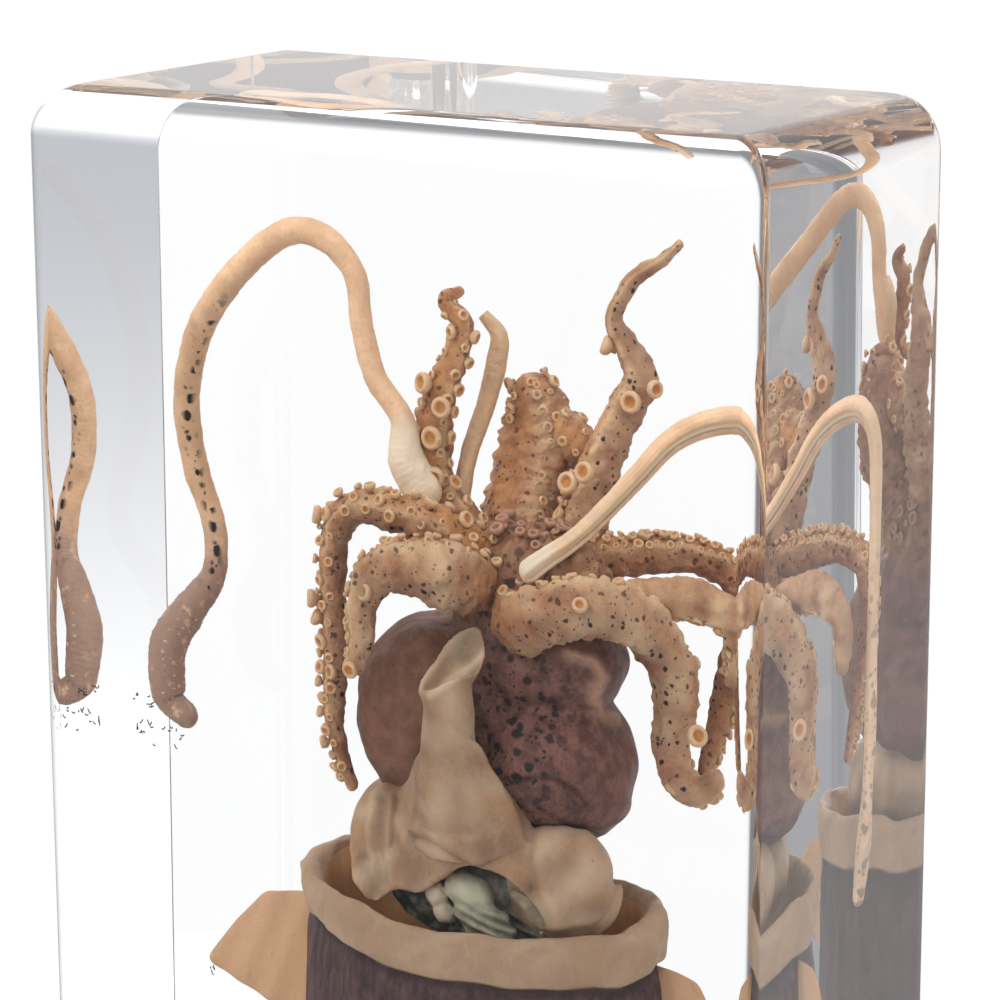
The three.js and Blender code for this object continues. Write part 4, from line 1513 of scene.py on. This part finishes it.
def arms() -> list[Arm]:
    """The eight arms, each with its route, its facing side and its suckers.

    Returns:
        The arms in the order in which they are built.
    """
    wide = (-0.85, -0.3, 0.3, 0.85)
    return [
        StripArm("arm_upper_left", facing=(-0.3, -1, 0.1), seed=101, strip=SKIN_STRIP, web=0.1, dusk=0.4,
                 cups=(((-0.6, -0.2, 100.2), (-0.6, -1, 0.2), 0.8),
                       ((0.8, -0.5, 98.7), (0.1, -1, 0.1), 0.78),
                       ((0.1, -0.5, 96.5), (-0.1, -1, 0), 0.86),
                       ((0.3, -0.6, 93.9), (0.1, -1, -0.3), 0.74)),
                 suckers=SuckerRow(size=0.5, pitch=2.1, angles=(-1.2, -0.6, 0.9, 1.5), stalk=0.35, end=0.9,
                                   seed=11, segments=16),
                 stops=((5.4, 0.8, 87.2, 2.6), (2.2, 1, 90, 1.7), (-0.2, 1, 92.8, 1.5),
                        (-0.5, 1, 96.4, 1.4), (0.1, 1, 99.6, 1.2),
                        (1.5, 1, 102.6, 0.95), (1.9, 1, 104.6, 0.8), (0.5, 1, 106, 0.6), (2, 1, 107, 0.35))),
        Arm("arm_upper_right", facing=(-1, -0.5, 0), seed=102, web=0.2, dusk=0.4, dusk_from=0.7, pale=0.4,
            suckers=SuckerRow(size=0.42, angles=(-0.5, 0.0, 0.4), seed=12, end=0.3),
            cups=(((11.9, 6.0, 103.4), (-1, -0.4, 0.4), 0.72), ((15.5, 5.2, 101.0), (1, -0.7, 0), 0.66),
                  ((14.1, 4.8, 100.0), (0, -1, 0), 0.8), ((10.4, 1.5, 94.2), (-0.2, -1, 0.3), 0.8),
                  ((11.6, 2.0, 95.0), (-0.3, -1, 0.3), 0.8)),
            stops=((8.6, 1.6, 87.2, 2.8), (10.4, 3.4, 90.6, 2.0), (10.9, 5.2, 94.2, 1.6),
                   (12.4, 6.4, 98.4, 1.4), (13.8, 6.8, 101.3, 1.3),
                   (13, 6.6, 103.4, 1), (12, 6.2, 105.4, 0.65), (13.6, 6, 108.2, 0.6),
                   (15.9, 6, 109.8, 0.45), (17.4, 6, 111.2, 0.3))),
        KnobArm("arm_middle", facing=(-0.4, -1, 0.3), seed=103, web=0.05, dusk=0.3, pale=0.15, wrinkle=0.06,
            ringed=0.0,
            knob=((6.6, 6.2, 97.6, 1.7), (8.4, 6.4, 96.8, 1.7), (9.6, 6.6, 95.6, 1.3),
                  (9.9, 6.6, 94.6, 0.8)),
            suckers=SuckerRow(size=0.34, angles=(-1.7, -1.3, 1.2, 1.6), seed=13, pitch=1.9),
            stops=((7.2, 1.2, 86.6, 3.4), (5.6, 3.6, 89.6, 3.1), (5.4, 6, 93, 3), (5.8, 6.8, 96.2, 2.9),
                   (5.6, 6.8, 98.8, 2.3),
                   (4.8, 6.8, 100.8, 1.5))),
        Arm("arm_front_left", facing=(0, 0.4, 1), seed=104, web=0.1, dusk=0.6, pale=0.45,
            suckers=SuckerRow(size=0.4, angles=wide, seed=14, pitch=1.5),
            cups=(((-2.3, -8.6, 86.1), (-0.5, -1, 0.2), 0.68),
                  ((-3.7, -8.6, 80.4), (-0.2, -1, -0.2), 0.66)),
            stops=((6, -3.6, 86.8, 2.4), (3.6, -6, 88, 2.4), (0.9, -7.2, 88.3, 2.1),
                   (-1.6, -7.6, 87.7, 1.6),
                   (-3, -7.8, 85.6, 1.25), (-3.2, -7.8, 82.6, 1), (-4, -7.6, 79.8, 0.75))),
        Arm("arm_front_right", facing=(0, 0.5, 1), seed=105, web=0.1, dusk=0.6, pale=0.45,
            suckers=SuckerRow(size=0.4, angles=wide, seed=15, pitch=1.5),
            cups=(((21.4, -1.4, 78.4), (0.8, -0.8, 0.3), 0.8),
                  ((19.7, -0.6, 74.5), (-0.5, -0.3, -1), 0.7),
                  ((14.6, -7.6, 87.3), (0.2, -0.8, 0.6), 0.6)),
            stops=((7.8, -2.6, 85.6, 2.6), (9.4, -5.6, 85.2, 2.1), (11.8, -6.6, 86.4, 2.15),
                   (14.6, -5.2, 87, 2.05), (17.2, -2.6, 86, 1.9), (18.9, -0.4, 83.2, 1.75),
                   (19.3, 0.4, 80.1, 1.55), (18.9, 0.4, 77.1, 1.35), (19.9, 0, 74.6, 1.2),
                   (21.8, -0.6, 74.5, 1), (23.2, -0.8, 76.1, 0.7))),
        Arm("arm_side_left", facing=(0, -0.3, 1), seed=106, dusk=0.75, dusk_from=1.6, pale=0.25,
            suckers=SuckerRow(size=0.5, angles=(-1.3, -0.7, -0.1, 0.7), seed=16, stalk=0.5, pitch=2.2),
            cups=(((-7.9, -4.6, 90.4), (-1, -0.4, 0.2), 0.7), ((-8.4, -4.8, 84.3), (-1, -0.4, 0), 0.7),
                  ((-6.8, -5.0, 79.2), (-0.6, -1, 0), 0.6), ((-7.7, -4.6, 73.8), (-1, -0.3, -0.2), 0.5)),
            stops=((5.4, -1.4, 87.6, 2.4), (1.8, -2.6, 90.2, 1.7), (-1.8, -3.4, 91.2, 1.4),
                   (-5.2, -3.6, 91.3, 1.3), (-7, -3.8, 89.4, 1.2),
                   (-7.3, -4, 86, 1.1), (-7.1, -4, 82, 1.05), (-7.2, -4, 78.4, 1), (-7.3, -3.8, 75, 0.75),
                   (-6.6, -3.6, 72.2, 0.6), (-5.8, -3.4, 70.2, 0.5))),
        Arm("arm_side_right", facing=(0, -0.2, 1), seed=107, dusk=0.4,
            suckers=SuckerRow(size=0.36, angles=wide, seed=17, stalk=0.5),
            stops=((9, 1.2, 86.8, 2.5), (12, 2, 88.8, 1.7), (15.2, 4.2, 89.6, 1.35),
                   (18.6, 5.6, 89.7, 1.25), (21.2, 7.4, 88.4, 1.15),
                   (21.6, 8.2, 85, 1.05), (20.8, 8.2, 81, 1), (20, 7.6, 77, 0.8), (19.2, 7, 73.6, 0.5))),
        Arm("arm_lower_right", facing=(0, 0.6, -1), seed=108, web=0.12, dusk=0.1, spots=0.15, pale=0.5,
            suckers=SuckerRow(size=0.4, angles=wide, seed=18, start=0.5),
            stops=((9.4, 0, 84.8, 2.2), (12.6, 0.4, 85.6, 1.6), (16.4, 0.8, 86.9, 1.4),
                   (20, 1.6, 87.4, 1.35), (22.8, 2.6, 86.2, 1.2),
                   (23.3, 3.4, 83.6, 1), (22.4, 3.6, 81.2, 0.75))),
    ]


@dataclass
class ResinBlock:
    """The clear block in one piece, with rounded edges, in place of the two halves."""

    finish: ResinFinish = field(default_factory=ResinFinish)
    radii: tuple[float, float, float, float] = (3.3, 0.14, 2.4, 1.4)
    end_radius: float = 3.6
    back_end_radius: float = 0.16
    segments: int = 14

    @staticmethod
    def _inset(depth: float, radius: float) -> tuple[float, float]:
        """The rounding of an end.

        Args:
            depth: How deep below the end's face it is read.
            radius: The rounding's radius.

        Returns:
            How far the rounded side stands in there, and how far it is tilted.
        """
        if depth >= radius:
            return 0.0, 0.0
        rise = (radius - depth) / radius
        return radius * (1 - math.sqrt(1 - rise * rise)), math.asin(rise)

    def build(self) -> bpy.types.Object:
        """Makes the block from the box of the two halves.

        The upright edges go round from the back right one, each with a radius of its own.

        Returns:
            The finished object.
        """
        boxes = [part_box(node) for node in ("block_front", "block_back")]
        low = np.min([np.array(box[0]) for box in boxes], axis=0) / MM
        high = np.max([np.array(box[1]) for box in boxes], axis=0) / MM
        middle, half = (low + high) / 2, (high - low) / 2
        quarter = np.linspace(0, math.pi / 2, self.segments + 1)
        turns = np.concatenate([quarter + corner * math.pi / 2 for corner in range(4)])
        wheel = np.stack([np.cos(turns), np.sin(turns)], axis=1)
        signs = np.repeat([(1, 1), (-1, 1), (-1, -1), (1, -1)], self.segments + 1, axis=0)
        behind = signs[:, 1] > 0
        upright = np.repeat(self.radii, self.segments + 1)
        depths = sorted({round(radius * (1 - math.sin(tilt)), 5)
                         for radius in (self.end_radius, self.back_end_radius) for tilt in quarter})
        levels = [(-1, depth) for depth in depths] + [(1, depth) for depth in reversed(depths)]
        rings, normals = [], []
        for end, depth in levels:
            wide, wide_tilt = self._inset(depth, self.end_radius)
            rear, rear_tilt = self._inset(depth, self.back_end_radius)
            radius = np.maximum(upright - wide * 0.3, 0.1)
            inset = np.column_stack([np.full(len(turns), wide), np.where(behind, rear, wide)])
            corner = (half[:2] - inset - radius[:, None]) * signs
            tilt = wide_tilt + (np.where(behind, rear_tilt, wide_tilt) - wide_tilt) * wheel[:, 1] ** 2
            height = np.full(len(turns), end * (half[2] - depth))
            rings.append(np.column_stack([corner + wheel * radius[:, None], height]) + middle)
            normals.append(np.column_stack([wheel * np.cos(tilt)[:, None], end * np.sin(tilt)]))
        points = np.concatenate(rings)
        faces = grid_faces(len(rings), len(turns))
        faces.append(tuple(range(len(turns) - 1, -1, -1)))
        faces.append(tuple(range(len(points) - len(turns), len(points))))
        stock = MeshStock()
        stock.add(points, faces)
        piece = stock.object("resin_block")
        piece.data.normals_split_custom_set_from_vertices(np.concatenate(normals).tolist())
        piece.data.materials.append(self.finish.material())
        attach(piece, BODY)
        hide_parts("block_front", "block_back")
        LOG.info("%s: %d faces", piece.name, len(piece.data.polygons))
        return piece


@dataclass
class Studio:
    """The pale floor, the soft light all round and the camera."""

    yaw: float = math.radians(32.893)
    pitch: float = math.radians(13.423)
    roll: float = math.radians(-0.213)
    distance: float = 256.6
    lens: float = 130.05
    target: Colour = (1.643, 0.0, 91.005)
    floor_radius: float = 125.0

    BACKDROP = (-0.56, 0.83, -0.05)
    SIDE = (0.80, 0.60, -0.2)
    KEY = (-0.75, -0.70, 0.9)
    FILL = (0.40, -0.85, 0.35)
    COOL = (0.93, 0.95, 1.0)
    WHITE = (1.0, 1.0, 1.0)

    def build(self) -> None:
        """Sets up camera, floor and light."""
        self._camera()
        self._floor()
        self._world()
        scene = bpy.context.scene
        scene.view_settings.view_transform = "Standard"
        scene.cycles.max_bounces = 32
        scene.cycles.transmission_bounces = 24
        scene.cycles.glossy_bounces = 16
        scene.cycles.diffuse_bounces = 4
        scene.cycles.transparent_max_bounces = 8
        scene.cycles.caustics_refractive = True
        scene.cycles.caustics_reflective = True
        scene.cycles.use_denoising = True

    def _camera(self) -> None:
        """The camera at the photograph's viewing angle."""
        flat = math.cos(self.pitch)
        ahead = Vector((-math.sin(self.yaw) * flat, math.cos(self.yaw) * flat, -math.sin(self.pitch)))
        level = Vector((math.cos(self.yaw), math.sin(self.yaw), 0.0))
        upright = level.cross(ahead)
        right = level * math.cos(self.roll) + upright * math.sin(self.roll)
        up = upright * math.cos(self.roll) - level * math.sin(self.roll)
        place = (Vector(self.target) - ahead * self.distance) * MM
        data = bpy.data.cameras.new("camera")
        data.sensor_width = 36.0
        data.lens = self.lens
        data.clip_start = 0.01
        data.clip_end = 20.0
        camera = bpy.data.objects.new("camera", data)
        turn = Matrix((right, up, -ahead)).transposed().to_4x4()
        camera.matrix_world = Matrix.Translation(place) @ turn
        bpy.context.scene.collection.objects.link(camera)
        bpy.context.scene.camera = camera

    def _floor(self) -> None:
        """A round pale table top just under the block."""
        around = ring_angles(96)
        ring = np.stack([np.cos(around), np.sin(around), 0 * around], axis=1)
        rings = np.stack([ring * np.array([reach, reach, 1.0]) + np.array([0.0, 0.0, height])
                          for reach, height in ((self.floor_radius, -12.0), (self.floor_radius, -0.8),
                                                (self.floor_radius - 0.6, -0.2), (1.0, -0.2))])
        stock = MeshStock()
        stock.add_tube(rings)
        floor = stock.object("floor")
        floor.data.shade_flat()
        floor.data.materials.append(FloorFinish().material())

    def _world(self) -> None:
        """Soft light: bright overhead, a white backdrop behind, grey walls at the horizon."""
        world = bpy.data.worlds.new("studio")
        world.use_nodes = True
        bpy.context.scene.world = world
        loom = Loom(world.node_tree)
        way = loom.node("ShaderNodeTexCoord", output="Generated")

        height = loom.node("ShaderNodeSeparateXYZ", {}, {0: way}, output="Z")
        backdrop = loom.towards(way, self.BACKDROP).step(0.80, 0.90)
        overhead = height.step(0.10, 0.55)
        side = loom.towards(way, self.SIDE).step(0.45, 0.95)
        below = height.step(-0.13, -0.34)
        key = loom.towards(way, self.KEY).step(0.80, 0.95)
        fill = loom.towards(way, self.FILL).step(0.25, 0.85)
        level = 0.25 + 0.9 * overhead + 3.7 * key + 0.45 * fill + 0.35 * side
        level = level + below * side * 0.6
        level = loom.node("ShaderNodeMath", {"operation": "MAXIMUM"}, {0: level, 1: backdrop * 1.04})
        lit = (overhead + backdrop + key + below * side).clamped()
        colour = loom.blend(lit, self.COOL, self.WHITE)
        light = loom.node("ShaderNodeBackground", {}, {"Color": colour, "Strength": level})
        loom.node("ShaderNodeOutputWorld", {}, {"Surface": light})


def main() -> None:
    """Builds the studio and every piece in order."""
    logging.basicConfig(level=logging.INFO, format="%(name)s: %(message)s")
    Studio().build()
    ResinBlock().build()
    Mantle().build()
    Gills().build()
    Funnel().build()
    Head().build()
    LeftTentacle("tentacle_left", stops=TENTACLE_LEFT, facing=(0, -1, 0), seed=91).build()
    RightTentacle("tentacle_right", stops=TENTACLE_RIGHT, facing=(0, -1, 0), seed=92).build()
    for arm in arms():
        arm.build()


if __name__ == "__main__":
    main()
